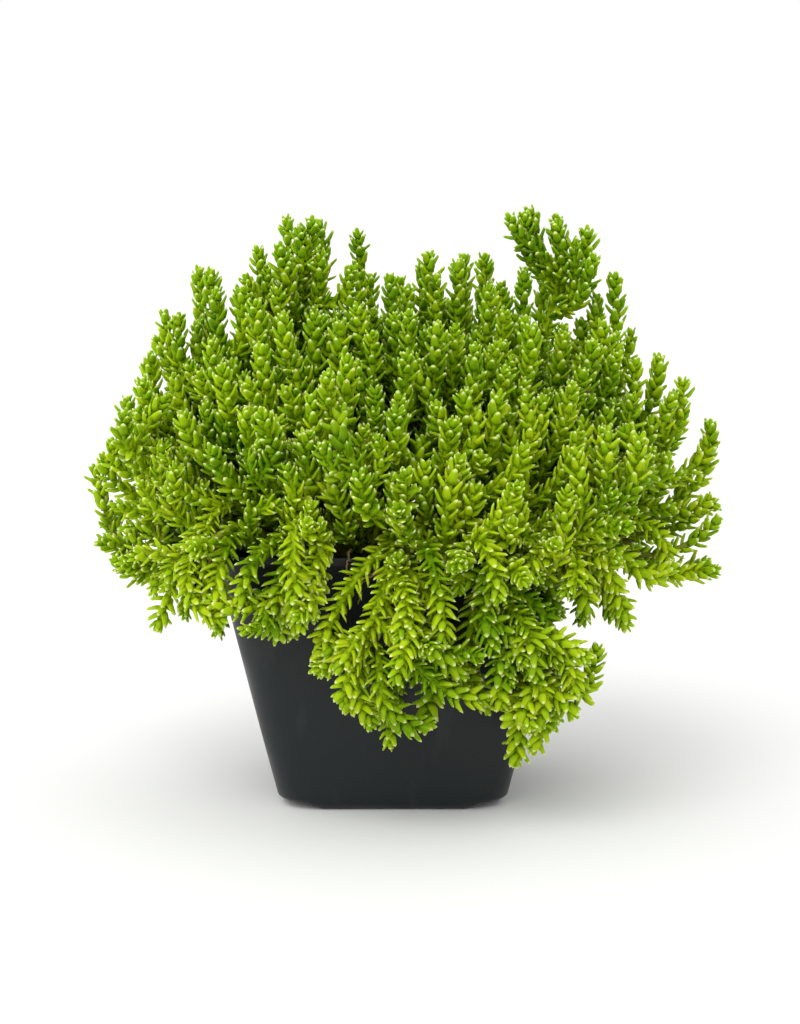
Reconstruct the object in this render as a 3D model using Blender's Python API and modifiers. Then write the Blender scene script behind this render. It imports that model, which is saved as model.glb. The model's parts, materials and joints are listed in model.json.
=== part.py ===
"""A sedum in a square black nursery pot: the pot, its potting mix and the leafy sprays."""
import math

import bmesh
import bpy
import numpy as np
from mathutils import Vector

# Driving dimensions, in metres

POT_HEIGHT = 0.080
RIM_HALF = 0.0525
BASE_HALF = 0.0345
POT_WALL = 0.0012
LIP_HEIGHT = 0.0022
LIP_PROUD = 0.0006
RIM_CORNER = 0.0130
BASE_CORNER = 0.0100
HEEL_HEIGHT = 0.0060
HEEL_ROUND = 0.0032
HEEL_LIFT = 0.4
HEEL_TURNS = (20.0, 50.0, 90.0)
FLOOR_STEP = 0.0015
CORNER_LIFT = 0.0024
LIFT_START = 0.0225
LIFT_RUN = 0.0050
STRAIGHT_SHARE = 0.7
DRAIN_RADIUS = 0.0030
DRAIN_PLACE = 0.0235
DRAIN_SIDES = 10
GAP = 0.0003

SOIL_TOP = 0.0725
SOIL_UNEVEN = 0.0008
SOIL_CLEAR = 0.0005
SOIL_BEVEL = 0.0035
SOIL_CORNER = 0.0040
SOIL_LEVEL_PART = 0.72
SOIL_WAVES = (140.0, 170.0)
HOLE_DEPTH = 0.0090

STEM_RADIUS = 0.0014
SIDE_STEM = 0.85
SIDE_ROOT = 0.6
THINNEST = 0.0006
STEM_BASE = SOIL_TOP + SOIL_UNEVEN + GAP
LEAF_REACH = 0.0054
LEAF_ROOT = 0.0016
LEAF_LIFT = 0.0032
WHORL_STEP = 0.0075
WHORL_LEAVES = 3
HOLLOW_SHARE = 0.7
REACH_SPREAD = (0.88, 1.06)
LIFT_SPREAD = (0.8, 1.2)
TIP_SLIMMING = 0.25
ROSETTE = 0.75
ROOM_BELOW = 0.3
ROOM_ABOVE = 0.6
LEAFY_LENGTH = 0.044
LEAFY_SPREAD = (0.85, 1.2)
STEM_BARE = 0.010
FORK_BARE = 0.005
BARE_STEP = 0.014
PAST_FORK = 0.05

MOUND_SIDE = 0.086
MOUND_FRONT = 0.062
MOUND_BACK = 0.074
MOUND_WAIST = 0.090
MOUND_TOP = 0.153
MOUND_BOXY = 0.8
MOUND_DOMED = 0.75
TIP_JITTER = (0.003, 0.003, 0.006)
EDGE_ANGLE = math.radians(100.0)
EDGE_CROWDING = 1.36
SOIL_SPREAD = 0.036
FOOT_SPACING = 0.0075
FOOT_ROUNDS = 30
RIM_PASS = 0.0075
NEAR_RIM = 0.016
TRAILING_SIDE = 0.045
TRAILING_FRONT = -0.045
OVER_TRAILING = 0.098
TURN_UP = 2.2
LATE_RISE = 0.9
SIDE_CROWDING = 0.14
ARCH_EARLY = 0.6
ARCH_LEAST = 0.2

LANES = 118
CROWN_SPRAYS = 28
GOLDEN_ANGLE = math.pi * (3.0 - math.sqrt(5.0))
CURVE_STEPS = 10
ROUTE_POINTS = 15
DENSE_POINTS = 61
FIRST_FORK = 2
FORK_PLACES = 3
YOUNG_POINTS = 4
OUT_OF_SOIL = 9
STEM_SIDES = 3
CORNER_STEPS = 3
HOLE_SIDES = 5
BEND_ROUNDS = 120
PAIR_ROUNDS = 10
PAIR_MARGIN = 0.005
PUSH = 0.35
KIN_ROOM = 0.90
DRAWN_GIVE = 0.2
ANY_SIDE = (0.3, 1.0, 0.1)
SHARP_ANGLE = math.radians(40.0)
SEED = 11

# Plain finishes: base colour and roughness

PLASTIC = ((0.020, 0.022, 0.025), 0.45)
MIX = ((0.030, 0.022, 0.016), 0.95)
LEAF = ((0.27, 0.42, 0.04), 0.50)

COLLECTION_NAME = "potted_sedum"

# Tips of crown shoots that stand out in the outline or towards the viewer
CROWN_TIPS = [
    (-0.079, 0.002, 0.121), (-0.083, 0.006, 0.111), (-0.070, 0.000, 0.147),
    (-0.060, 0.006, 0.160), (-0.053, -0.010, 0.154), (-0.040, 0.014, 0.158),
    (-0.013, 0.008, 0.171), (-0.013, -0.008, 0.156), (0.009, 0.010, 0.161),
    (0.022, 0.004, 0.164), (0.029, 0.014, 0.163), (0.038, 0.006, 0.160),
    (0.060, 0.004, 0.154), (0.067, 0.000, 0.157), (0.064, -0.010, 0.143),
    (0.071, 0.006, 0.141), (0.082, 0.000, 0.133), (0.087, -0.006, 0.127),
    (0.098, 0.000, 0.113), (0.100, 0.000, 0.088), (0.088, 0.008, 0.112),
    (-0.038, -0.038, 0.139), (-0.023, -0.027, 0.148), (-0.013, -0.049, 0.136),
    (-0.023, -0.054, 0.126), (-0.028, -0.056, 0.117), (-0.047, -0.050, 0.111),
    (-0.063, -0.042, 0.104), (0.002, -0.056, 0.126), (0.004, -0.047, 0.137),
    (0.010, -0.061, 0.108), (0.017, -0.058, 0.119), (0.021, -0.060, 0.102),
    (0.030, -0.052, 0.126), (0.043, -0.048, 0.125), (0.052, -0.041, 0.128),
    (0.059, -0.044, 0.107), (0.066, -0.040, 0.095), (0.035, -0.055, 0.112),
    (0.077, -0.027, 0.101), (-0.013, -0.061, 0.107), (-0.042, -0.050, 0.121),
    (-0.032, -0.058, 0.098), (0.047, -0.051, 0.091), (0.024, -0.043, 0.139),
    (0.013, -0.038, 0.145), (0.041, -0.028, 0.144), (0.061, -0.017, 0.139),
    (-0.048, -0.039, 0.133),
]

# Sprays with routes drawn by hand: the first route of each stands in the soil
DRAWN_SPRAYS = {
    "spray_left_low": [
        [(-0.036, 0.004, 0.073), (-0.046, 0.004, 0.086), (-0.057, 0.003, 0.082), (-0.068, 0.002, 0.070),
         (-0.077, 0.001, 0.068), (-0.085, 0.000, 0.080), (-0.091, 0.000, 0.099)],
        [(-0.057, 0.003, 0.082), (-0.061, -0.006, 0.070), (-0.064, -0.010, 0.055)],
        [(-0.062, 0.003, 0.077), (-0.069, 0.012, 0.064), (-0.079, 0.014, 0.063)],
    ],
    "spray_crest": [
        [(-0.012, 0.006, 0.073), (-0.019, 0.006, 0.100), (-0.027, 0.006, 0.130), (-0.029, 0.005, 0.152),
         (-0.031, 0.005, 0.175)],
        [(-0.029, 0.006, 0.150), (-0.024, 0.006, 0.161), (-0.024, 0.006, 0.174)],
        [(-0.028, 0.006, 0.140), (-0.035, 0.004, 0.151), (-0.036, 0.003, 0.167)],
    ],
    "spray_branched_top": [
        [(0.012, 0.010, 0.073), (0.026, 0.008, 0.100), (0.042, 0.006, 0.130), (0.050, 0.004, 0.152),
         (0.050, 0.002, 0.174)],
        [(0.050, 0.004, 0.150), (0.056, 0.006, 0.158), (0.057, 0.004, 0.172)],
        [(0.050, 0.004, 0.154), (0.044, 0.002, 0.164), (0.040, 0.000, 0.177)],
    ],
    "spray_trailing_left": [
        [(0.000, -0.034, 0.073), (0.000, -0.046, 0.088), (-0.002, -0.060, 0.080),
         (-0.006, -0.065, 0.064), (-0.009, -0.062, 0.050), (-0.012, -0.058, 0.037)],
        [(-0.001, -0.054, 0.086), (-0.010, -0.062, 0.074), (-0.017, -0.064, 0.060),
         (-0.017, -0.060, 0.048)],
        [(-0.003, -0.063, 0.072), (0.002, -0.064, 0.052), (0.000, -0.060, 0.040),
         (-0.001, -0.056, 0.026)],
        [(-0.001, -0.061, 0.078), (0.006, -0.070, 0.066), (0.004, -0.074, 0.052)],
        [(-0.006, -0.065, 0.065), (0.006, -0.071, 0.053), (0.016, -0.067, 0.045), (0.025, -0.061, 0.043)],
        [(0.000, -0.058, 0.082), (0.010, -0.066, 0.070), (0.012, -0.064, 0.054), (0.009, -0.058, 0.032)],
    ],
    "spray_trailing_right": [
        [(0.024, -0.034, 0.073), (0.026, -0.046, 0.088), (0.029, -0.060, 0.078), (0.034, -0.064, 0.062),
         (0.037, -0.060, 0.044), (0.036, -0.054, 0.021)],
        [(0.028, -0.056, 0.083), (0.022, -0.062, 0.066), (0.022, -0.058, 0.046), (0.029, -0.054, 0.036)],
        [(0.031, -0.062, 0.072), (0.043, -0.064, 0.062), (0.046, -0.060, 0.048), (0.046, -0.054, 0.031)],
        [(0.033, -0.063, 0.066), (0.048, -0.066, 0.054), (0.054, -0.060, 0.042), (0.059, -0.056, 0.054)],
    ],
    "spray_front_left": [
        [(-0.028, -0.034, 0.073), (-0.029, -0.046, 0.088), (-0.028, -0.058, 0.078), (-0.027, -0.058, 0.058)],
        [(-0.029, -0.050, 0.086), (-0.038, -0.060, 0.080), (-0.047, -0.060, 0.066)],
        [(-0.029, -0.052, 0.086), (-0.020, -0.062, 0.080), (-0.014, -0.062, 0.073)],
    ],
    "spray_left_front": [
        [(-0.034, -0.026, 0.073), (-0.046, -0.036, 0.088), (-0.056, -0.043, 0.081),
         (-0.064, -0.043, 0.069), (-0.069, -0.041, 0.058)],
        [(-0.053, -0.042, 0.084), (-0.053, -0.053, 0.074), (-0.050, -0.056, 0.061)],
    ],
    "spray_right_front": [
        [(0.036, -0.028, 0.073), (0.046, -0.038, 0.088), (0.056, -0.046, 0.082), (0.064, -0.048, 0.071),
         (0.068, -0.046, 0.059)],
        [(0.054, -0.045, 0.084), (0.066, -0.038, 0.078), (0.076, -0.034, 0.071), (0.083, -0.032, 0.074)],
    ],
    "spray_right_rim": [
        [(0.034, 0.014, 0.073), (0.046, 0.016, 0.088), (0.058, 0.016, 0.083), (0.072, 0.016, 0.074),
         (0.084, 0.014, 0.080), (0.090, 0.012, 0.097)],
        [(0.060, 0.016, 0.082), (0.070, 0.026, 0.073), (0.082, 0.030, 0.066)],
    ],
    "spray_right_low": [
        [(0.034, -0.010, 0.073), (0.046, -0.011, 0.088), (0.058, -0.010, 0.080), (0.063, -0.008, 0.068),
         (0.068, -0.006, 0.054)],
        [(0.054, -0.011, 0.084), (0.058, -0.020, 0.072), (0.057, -0.024, 0.056)],
        [(0.059, -0.010, 0.078), (0.072, 0.000, 0.070), (0.086, 0.002, 0.066), (0.097, 0.000, 0.070)],
    ],
}


def unit(vector):
    return vector / np.linalg.norm(vector)


def even_points(points, count=ROUTE_POINTS):
    """Points spaced evenly along a route."""
    steps = np.linalg.norm(np.diff(points, axis=0), axis=1)
    along = np.concatenate([[0.0], np.cumsum(steps)])
    wanted = np.linspace(0.0, along[-1], count)
    return np.stack([np.interp(wanted, along, points[:, axis]) for axis in range(3)], axis=1)


def drawn_route(points):
    """A smooth route through points chosen by hand."""
    points = np.array(points)
    knots = np.vstack([2.0 * points[0] - points[1], points, 2.0 * points[-1] - points[-2]])
    t = np.linspace(0.0, 1.0, CURVE_STEPS, endpoint=False)[:, None]
    pieces = []
    for before, a, b, after in zip(knots, knots[1:], knots[2:], knots[3:]):
        straight = 2.0 * a + (b - before) * t
        bend = (2.0 * before - 5.0 * a + 4.0 * b - after) * t ** 2
        twist = (3.0 * a - before - 3.0 * b + after) * t ** 3
        pieces.append(0.5 * (straight + bend + twist))
    return even_points(np.vstack(pieces + [points[-1:]]))


def lane_angles(count):
    """Evenly spread places on a disc: distance from the middle, 0 to 1, and angle round it."""
    index = np.arange(count)
    angle = index * GOLDEN_ANGLE
    return np.sqrt((index + 0.5) / count), angle - SIDE_CROWDING * np.sin(2.0 * angle)


def soil_spot(rho, phi):
    """Where on the soil's rounded square a stem stands."""
    squareness = (math.cos(phi) ** 4 + math.sin(phi) ** 4) ** -0.25
    reach = SOIL_SPREAD * rho * squareness
    return np.array([reach * math.cos(phi), reach * math.sin(phi), STEM_BASE])


def mound_spot(rho, phi):
    """Where on the surface of the leafy mound a shoot ends."""
    theta = EDGE_ANGLE * rho ** EDGE_CROWDING
    outward = abs(math.sin(theta)) ** MOUND_BOXY
    depth = MOUND_FRONT if math.sin(phi) < 0.0 else MOUND_BACK
    upward = math.copysign(abs(math.cos(theta)) ** MOUND_DOMED, math.cos(theta))
    return np.array([
        MOUND_SIDE * outward * math.cos(phi),
        depth * outward * math.sin(phi),
        MOUND_WAIST + (MOUND_TOP - MOUND_WAIST) * upward,
    ])


def spaced_feet(spots):
    """Move the crown's stem feet apart, and off the feet of the sprays drawn by hand."""
    drawn = np.array([routes[0][0][:2] for routes in DRAWN_SPRAYS.values()])
    for _ in range(FOOT_ROUNDS):
        feet = np.vstack([spots[:, :2], drawn])
        apart = spots[:, None, :2] - feet[None]
        distance = np.maximum(np.linalg.norm(apart, axis=2), 1e-9)
        lack = np.where(distance < 1e-6, 0.0, np.maximum(FOOT_SPACING - distance, 0.0))
        spots[:, :2] += 0.5 * (apart * (lack / distance)[:, :, None]).sum(axis=1)
    return spots


def crown_lanes():
    """The crown's shoots: stem spot of its spray, spray number and tip."""
    rng = np.random.default_rng(SEED)
    rho, phi = lane_angles(LANES)
    tips = np.array([mound_spot(r, p) for r, p in zip(rho, phi)])
    tips += rng.uniform(-1.0, 1.0, tips.shape) * np.array(TIP_JITTER)
    reach, _ = pot_reach(tips)
    lowest = np.where(reach < RIM_HALF + NEAR_RIM, POT_HEIGHT + RIM_PASS + LEAF_REACH, 0.0)
    over_trailing = (tips[:, 1] < TRAILING_FRONT) & (np.abs(tips[:, 0]) < TRAILING_SIDE)
    lowest = np.where(over_trailing, OVER_TRAILING, lowest)
    tips[:, 2] = np.maximum(tips[:, 2], lowest)
    free = np.ones(LANES, dtype=bool)
    for wanted in np.array(CROWN_TIPS):
        away = np.linalg.norm(tips - wanted, axis=1) + np.where(free, 0.0, 1.0)
        nearest = int(np.argmin(away))
        tips[nearest] = wanted
        free[nearest] = False
    spray_rho, spray_phi = lane_angles(CROWN_SPRAYS)
    spots = spaced_feet(np.array([soil_spot(r, p) for r, p in zip(spray_rho, spray_phi)]))
    lanes = np.array([soil_spot(r, p) for r, p in zip(rho, phi)])
    owner = np.argmin(np.linalg.norm(lanes[:, None] - spots[None], axis=2), axis=1)
    return spots, owner, tips


def crown_route(start, tip):
    """One shoot that spreads low and early, clears the pot's rim and then turns upright."""
    t = np.linspace(0.0, 1.0, 4 * ROUTE_POINTS)[:, None]
    spread = 1.0 - (1.0 - t) ** TURN_UP
    outside = np.clip((pot_reach(tip[None])[0][0] - RIM_HALF) / (MOUND_SIDE - RIM_HALF), 0.0, 1.0)
    route = start + (tip - start) * np.hstack([spread, spread, t ** (1.0 + LATE_RISE * outside)])
    past = np.nonzero(pot_reach(route)[0] > RIM_HALF)[0]
    if len(past) and past[0] > 0:
        over = past[0]
        lack = max(POT_HEIGHT + RIM_PASS - route[over, 2], 0.0)
        arch = np.sin(math.pi * t[:, 0] ** ARCH_EARLY)
        route[:, 2] += lack * arch / max(arch[over], ARCH_LEAST)
    return even_points(route)


def build_routes():
    """Every shoot's route, grouped by spray, before they are bent clear of each other."""
    sprays = {}
    spots, owner, tips = crown_lanes()
    for number, spot in enumerate(spots):
        mine = tips[owner == number]
        if not len(mine):
            continue
        order = np.argsort(np.linalg.norm(mine - mine.mean(axis=0), axis=1))
        main = crown_route(spot, mine[order[0]])
        routes = [main]
        for rank, index in enumerate(order[1:]):
            routes.append(crown_route(main[FIRST_FORK + rank % FORK_PLACES], mine[index]))
        sprays[f"spray_crown_{number + 1:02d}"] = routes
    for name, drawn in DRAWN_SPRAYS.items():
        sprays[name] = [drawn_route(points) for points in drawn]
        sprays[name][0][0, 2] = STEM_BASE
    return sprays


def pot_reach(points):
    """How far points lie from the pot's axis, measured square to its wall, and that way out."""
    flat = np.abs(points[:, :2])
    height = np.clip(points[:, 2] / POT_HEIGHT, 0.0, 1.0)
    core = (BASE_HALF + (RIM_HALF - BASE_HALF) * height - RIM_CORNER)[:, None]
    beyond = np.maximum(flat - core, 0.0)
    spill = np.linalg.norm(beyond, axis=1)
    longer = (flat >= flat[:, ::-1]).astype(float)
    way = np.where(spill[:, None] > 0.0, beyond / np.maximum(spill, 1e-9)[:, None], longer)
    reach = np.where(spill > 0.0, core[:, 0] + spill, flat.max(axis=1))
    return reach, way * np.sign(points[:, :2])


def wall_clearance(points):
    """Distance of points from the outer face of the pot's wall, and the way out from it."""
    reach, outward = pot_reach(points)
    run = np.array([RIM_HALF - BASE_HALF, POT_HEIGHT])
    profile = np.stack([reach - BASE_HALF, points[:, 2]], axis=1)
    along = np.clip(profile @ run / (run @ run), 0.0, 1.0)
    away = profile - along[:, None] * run
    distance = np.linalg.norm(away, axis=1)
    way = np.hstack([outward * away[:, :1], away[:, 1:]])
    return distance, way / np.maximum(distance, 1e-6)[:, None]


def soil_clearance(points):
    """Height of points over the soil, for those inside the pot."""
    inside = pot_reach(points)[0] < RIM_HALF
    return np.where(inside, points[:, 2] - SOIL_TOP - SOIL_UNEVEN, 1.0)


def thickness(route, leafy):
    """Room that a route needs round it at each of its points."""
    along = np.linspace(0.0, 1.0, len(route))
    return np.where(along > 1.0 - leafy, LEAF_REACH + GAP, STEM_RADIUS + 2.0 * GAP)


class Shoot:
    """One leafy shoot: its route, where it leaves its spray's main stem, and how far it is leafy."""

    def __init__(self, spray, route, parent, rng):
        self.spray = spray
        self.route = route
        self.first = route.copy()
        self.parent = parent
        self.seed = int(rng.integers(1 << 30))
        length = np.linalg.norm(np.diff(route, axis=0), axis=1).sum()
        bare = STEM_BARE if parent is None else FORK_BARE
        wanted = LEAFY_LENGTH * rng.uniform(*LEAFY_SPREAD)
        self.give = 1.0
        if spray in DRAWN_SPRAYS:
            wanted = length
            self.give = DRAWN_GIVE
        self.leafy = min(wanted, length - bare) / length
        self.fork = 0.0
        if parent is not None:
            gaps = np.linalg.norm(parent.dense() - route[0], axis=1)
            self.fork = float(np.argmin(gaps)) / (len(gaps) - 1)
            if spray not in DRAWN_SPRAYS:
                parent.leafy = min(parent.leafy, 1.0 - self.fork - PAST_FORK)
        self.room = thickness(route, self.leafy)

    def dense(self):
        return even_points(self.route, DENSE_POINTS)

    def follow_parent(self):
        if self.parent is not None:
            spine = self.parent.dense()
            self.route[0] = spine[int(round(self.fork * (len(spine) - 1)))]


def make_shoots():
    """All shoots, bent clear of each other, of the pot and of the soil."""
    rng = np.random.default_rng(SEED)
    shoots = []
    for name, routes in build_routes().items():
        main = None
        for route in routes:
            shoot = Shoot(name, route, main, rng)
            main = main or shoot
            shoots.append(shoot)
    bend_clear(shoots)
    return shoots


def close_pairs(points, owner, spray, place):
    """Pairs of route points of different shoots that may come too near each other."""
    square = (points ** 2).sum(axis=1)
    apart = square[:, None] + square[None, :] - 2.0 * points @ points.T
    near = apart < (2.0 * LEAF_REACH + PAIR_MARGIN) ** 2
    near &= owner[:, None] != owner[None, :]
    young = (place[:, None] < YOUNG_POINTS) | (place[None, :] < YOUNG_POINTS)
    near &= ~((spray[:, None] == spray[None, :]) & young)
    return np.nonzero(near)


def bend_clear(shoots):
    """Push shoots apart where they would cross, and smooth each push along its shoot."""
    names = {name: number for number, name in enumerate(dict.fromkeys(s.spray for s in shoots))}
    owner = np.repeat(np.arange(len(shoots)), ROUTE_POINTS)
    spray = np.repeat([names[s.spray] for s in shoots], ROUTE_POINTS)
    place = np.tile(np.arange(ROUTE_POINTS), len(shoots))
    room = np.concatenate([s.room for s in shoots])
    main = np.repeat([s.parent is None for s in shoots], ROUTE_POINTS)
    held = place < np.where(main, 2, 1)
    give = np.repeat([s.give for s in shoots], ROUTE_POINTS)[:, None]
    for turn in range(BEND_ROUNDS):
        points = np.concatenate([s.route for s in shoots])
        if turn % PAIR_ROUNDS == 0:
            rows, columns = close_pairs(points, owner, spray, place)
            kin = np.where(spray[rows] == spray[columns], KIN_ROOM, 1.0)
            need = kin * (room[rows] + room[columns])
        apart = points[rows] - points[columns]
        distance = np.maximum(np.linalg.norm(apart, axis=1), 1e-6)
        lack = np.maximum(need - distance, 0.0) / distance
        shift = np.zeros_like(points)
        np.add.at(shift, rows, PUSH * lack[:, None] * apart)
        shift *= give
        from_wall, out = wall_clearance(points)
        wall_lack = np.maximum(room + POT_WALL + GAP - from_wall, 0.0)
        shift += wall_lack[:, None] * out
        soil_lack = np.maximum(room + GAP - soil_clearance(points), 0.0)
        shift[:, 2] += np.where(place > 1, soil_lack, 0.0)
        shift[held] = 0.0
        moves = (points + shift).reshape(len(shoots), ROUTE_POINTS, 3)
        for shoot, moved in zip(shoots, moves):
            drift = moved - shoot.first
            drift[1:-1] = 0.25 * drift[:-2] + 0.5 * drift[1:-1] + 0.25 * drift[2:]
            shoot.route = shoot.first + drift
            if shoot.parent is None:
                shoot.route[:2] = shoot.first[:2]
            shoot.follow_parent()


def nearest_gap(spine, others):
    """Distance from each point of a route to the nearest of some other points."""
    return np.linalg.norm(spine[:, None, :] - others[None, :, :], axis=2).min(axis=1)


def free_room(shoots):
    """How wide each shoot may be along its length without touching what is not its own."""
    dense = [shoot.dense() for shoot in shoots]
    points = np.concatenate(dense)
    spray = np.repeat([s.spray for s in shoots], DENSE_POINTS)
    stem = np.repeat([s.parent is None for s in shoots], DENSE_POINTS)
    owner = np.repeat(np.arange(len(shoots)), DENSE_POINTS)
    for number, (shoot, spine) in enumerate(zip(shoots, dense)):
        from_wall, _ = wall_clearance(spine)
        limits = [0.5 * nearest_gap(spine, points[spray != shoot.spray]) - GAP]
        limits.append(from_wall - 0.5 * POT_WALL - LIP_PROUD - GAP)
        over_soil = soil_clearance(spine) - GAP
        kin = (spray == shoot.spray) & (owner != number)
        if shoot.parent is None:
            over_soil[:OUT_OF_SOIL] = 1.0
        else:
            limits.append(nearest_gap(spine, points[kin & stem]) - LEAF_REACH)
            if (kin & ~stem).any():
                limits.append(0.5 * nearest_gap(spine, points[kin & ~stem]))
        limits.append(over_soil)
        shoot.free = np.maximum(np.min(limits, axis=0), THINNEST)
        shoot.forks = sorted(other.fork for other in shoots if other.parent is shoot)


def frames(spine):
    """Two directions square to a route at each of its points, turning as little as they can."""
    ahead = np.gradient(spine, axis=0)
    ahead /= np.linalg.norm(ahead, axis=1)[:, None]
    side = unit(np.cross(ahead[0], ANY_SIDE))
    sides = []
    for direction in ahead:
        side = unit(side - direction * (side @ direction))
        sides.append(side)
    sides = np.array(sides)
    return ahead, sides, np.cross(ahead, sides)


def bare_rings(length, leafy_start, forks):
    """Places of the rings on a bare stem: at each fork, and between them where it is long."""
    places = [0.0] + sorted({fork * length for fork in forks if fork * length < leafy_start - STEM_RADIUS})
    rings = []
    for start, end in zip(places, places[1:] + [leafy_start]):
        count = max(int(round((end - start) / BARE_STEP)), 1)
        rings += [start + (end - start) * step / count for step in range(count)]
    return rings[1:]


def shoot_rings(shoot):
    """Rings of a shoot's skin: bare stem in threes, then whorls of leaf tips and hollows."""
    spine = shoot.dense()
    length = np.linalg.norm(np.diff(spine, axis=0), axis=1).sum()
    ahead, side, across = frames(spine)
    rng = np.random.default_rng(shoot.seed)
    turn = rng.uniform(0.0, math.tau)
    last = DENSE_POINTS - 1

    def ring(distance, radii, lifts):
        at = min(max(distance / length, 0.0), 1.0) * last
        low = min(int(at), last - 1)
        part = at - low
        middle = spine[low] * (1.0 - part) + spine[low + 1] * part
        count = len(radii)
        corners = []
        for number, (radius, lift) in enumerate(zip(radii, lifts)):
            angle = turn + number * math.tau / count
            outward = side[low] * math.cos(angle) + across[low] * math.sin(angle)
            corners.append(middle + radius * outward + lift * ahead[low])
        return corners

    def room(start, end):
        low = int(max(start / length, 0.0) * last)
        high = int(min(end / length, 1.0) * last) + 1
        return shoot.free[low:high + 1].min()

    leafy_start = length * (1.0 - shoot.leafy)
    rings = []
    if shoot.parent is None:
        level_side = unit(side[0] * np.array([1.0, 1.0, 0.0]))
        level_across = np.cross([0.0, 0.0, 1.0], level_side)
        for height in (SOIL_TOP - HOLE_DEPTH + GAP, STEM_BASE):
            foot = np.array([spine[0][0], spine[0][1], height])
            angles = turn + np.arange(STEM_SIDES) * math.tau / STEM_SIDES
            rings.append([
                foot + STEM_RADIUS * (level_side * math.cos(angle) + level_across * math.sin(angle))
                for angle in angles
            ])
    else:
        rings.append(ring(0.0, [SIDE_ROOT * STEM_RADIUS] * STEM_SIDES, [0.0] * STEM_SIDES))
    for where in bare_rings(length, leafy_start, shoot.forks):
        width = STEM_RADIUS if shoot.parent is None else SIDE_STEM * STEM_RADIUS
        width = min(width, shoot.free[int(round(where / length * last))])
        rings.append(ring(where, [max(width, THINNEST)] * STEM_SIDES, [0.0] * STEM_SIDES))
    whorls = max(int(round(length * shoot.leafy / WHORL_STEP)), 3)
    step = length * shoot.leafy / (whorls - 1.0 + ROSETTE)
    for whorl in range(whorls):
        where = leafy_start + step * whorl
        ripe = whorl / (whorls - 1)
        reach = LEAF_REACH * (1.0 - TIP_SLIMMING * ripe ** 4) * rng.uniform(*REACH_SPREAD)
        lift = LEAF_LIFT * (1.0 + TIP_SLIMMING * ripe ** 3) * rng.uniform(*LIFT_SPREAD)
        wide = min(reach, room(where - ROOM_BELOW * step, where + lift + ROOM_ABOVE * step))
        narrow = min(LEAF_ROOT, HOLLOW_SHARE * wide)
        radii = [wide, narrow] * WHORL_LEAVES
        lifts = [lift, 0.0] * WHORL_LEAVES
        if whorl % 2:
            radii = radii[1:] + radii[:1]
            lifts = lifts[1:] + lifts[:1]
        rings.append(ring(where, radii, lifts))
    apex = spine[-1]
    return rings, apex


def is_tip(corner, ring):
    """Whether a corner of a whorl is a leaf's tip, which stands further out than a hollow."""
    middle = sum((other.co for other in ring), Vector()) / len(ring)
    spans = [(other.co - middle).length for other in ring]
    return (corner.co - middle).length > 0.5 * (min(spans) + max(spans))


def skin(bm, rings, apex):
    """Close a shoot's rings into one body, from a flat foot to a pointed top."""
    layers = [[bm.verts.new(point) for point in ring] for ring in rings]
    bm.faces.new(list(reversed(layers[0])))
    for low, high in zip(layers, layers[1:]):
        count = len(low)
        for index in range(count):
            a, b = low[index], low[(index + 1) % count]
            if len(high) == count:
                c, d = high[(index + 1) % count], high[index]
                if count > STEM_SIDES and is_tip(a, low):
                    bm.faces.new((a, b, d))
                    bm.faces.new((b, c, d))
                else:
                    bm.faces.new((a, b, c))
                    bm.faces.new((a, c, d))
            else:
                c, d, e = high[2 * index], high[2 * index + 1], high[(2 * index + 2) % len(high)]
                bm.faces.new((a, d, c))
                bm.faces.new((a, b, d))
                bm.faces.new((b, e, d))
    peak = bm.verts.new(apex)
    top = layers[-1]
    for index in range(len(top)):
        bm.faces.new((top[index], top[(index + 1) % len(top)], peak))
    bmesh.ops.recalc_face_normals(bm, faces=bm.faces)


def shoot_object(shoot, name, collection):
    bm = bmesh.new()
    rings, apex = shoot_rings(shoot)
    skin(bm, rings, apex)
    mesh = bpy.data.meshes.new(name)
    bm.to_mesh(mesh)
    bm.free()
    shape = bpy.data.objects.new(name, mesh)
    collection.objects.link(shape)
    return shape


def fused_mesh(stem, others, solver):
    """The stem's mesh after one union with a collection of shoots."""
    union = stem.modifiers.new("Fuse", "BOOLEAN")
    union.operation = "UNION"
    union.solver = solver
    union.operand_type = "COLLECTION"
    union.collection = others
    mesh = bpy.data.meshes.new_from_object(stem.evaluated_get(bpy.context.evaluated_depsgraph_get()))
    stem.modifiers.remove(union)
    bm = bmesh.new()
    bm.from_mesh(mesh)
    bmesh.ops.triangulate(bm, faces=[face for face in bm.faces if len(face.verts) > 3])
    closed = all(len(edge.link_faces) == 2 for edge in bm.edges)
    bm.to_mesh(mesh)
    bm.free()
    return mesh, closed


def make_spray(name, shoots, home, material):
    """Fuse a spray's shoots into its main stem, then drop the loose ones."""
    others = new_collection(f"{name}_shoots")
    spray = shoot_object(shoots[0], name, home)
    for number, shoot in enumerate(shoots[1:]):
        shoot_object(shoot, f"{name}_part_{number}", others)
    mesh, closed = fused_mesh(spray, others, "EXACT")
    if not closed:
        mesh, closed = fused_mesh(spray, others, "MANIFOLD")
    mesh.materials.clear()
    mesh.materials.append(material)
    spray.data = mesh
    for loose in list(others.objects):
        bpy.data.objects.remove(loose)
    bpy.data.collections.remove(others)
    return spray


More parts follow.
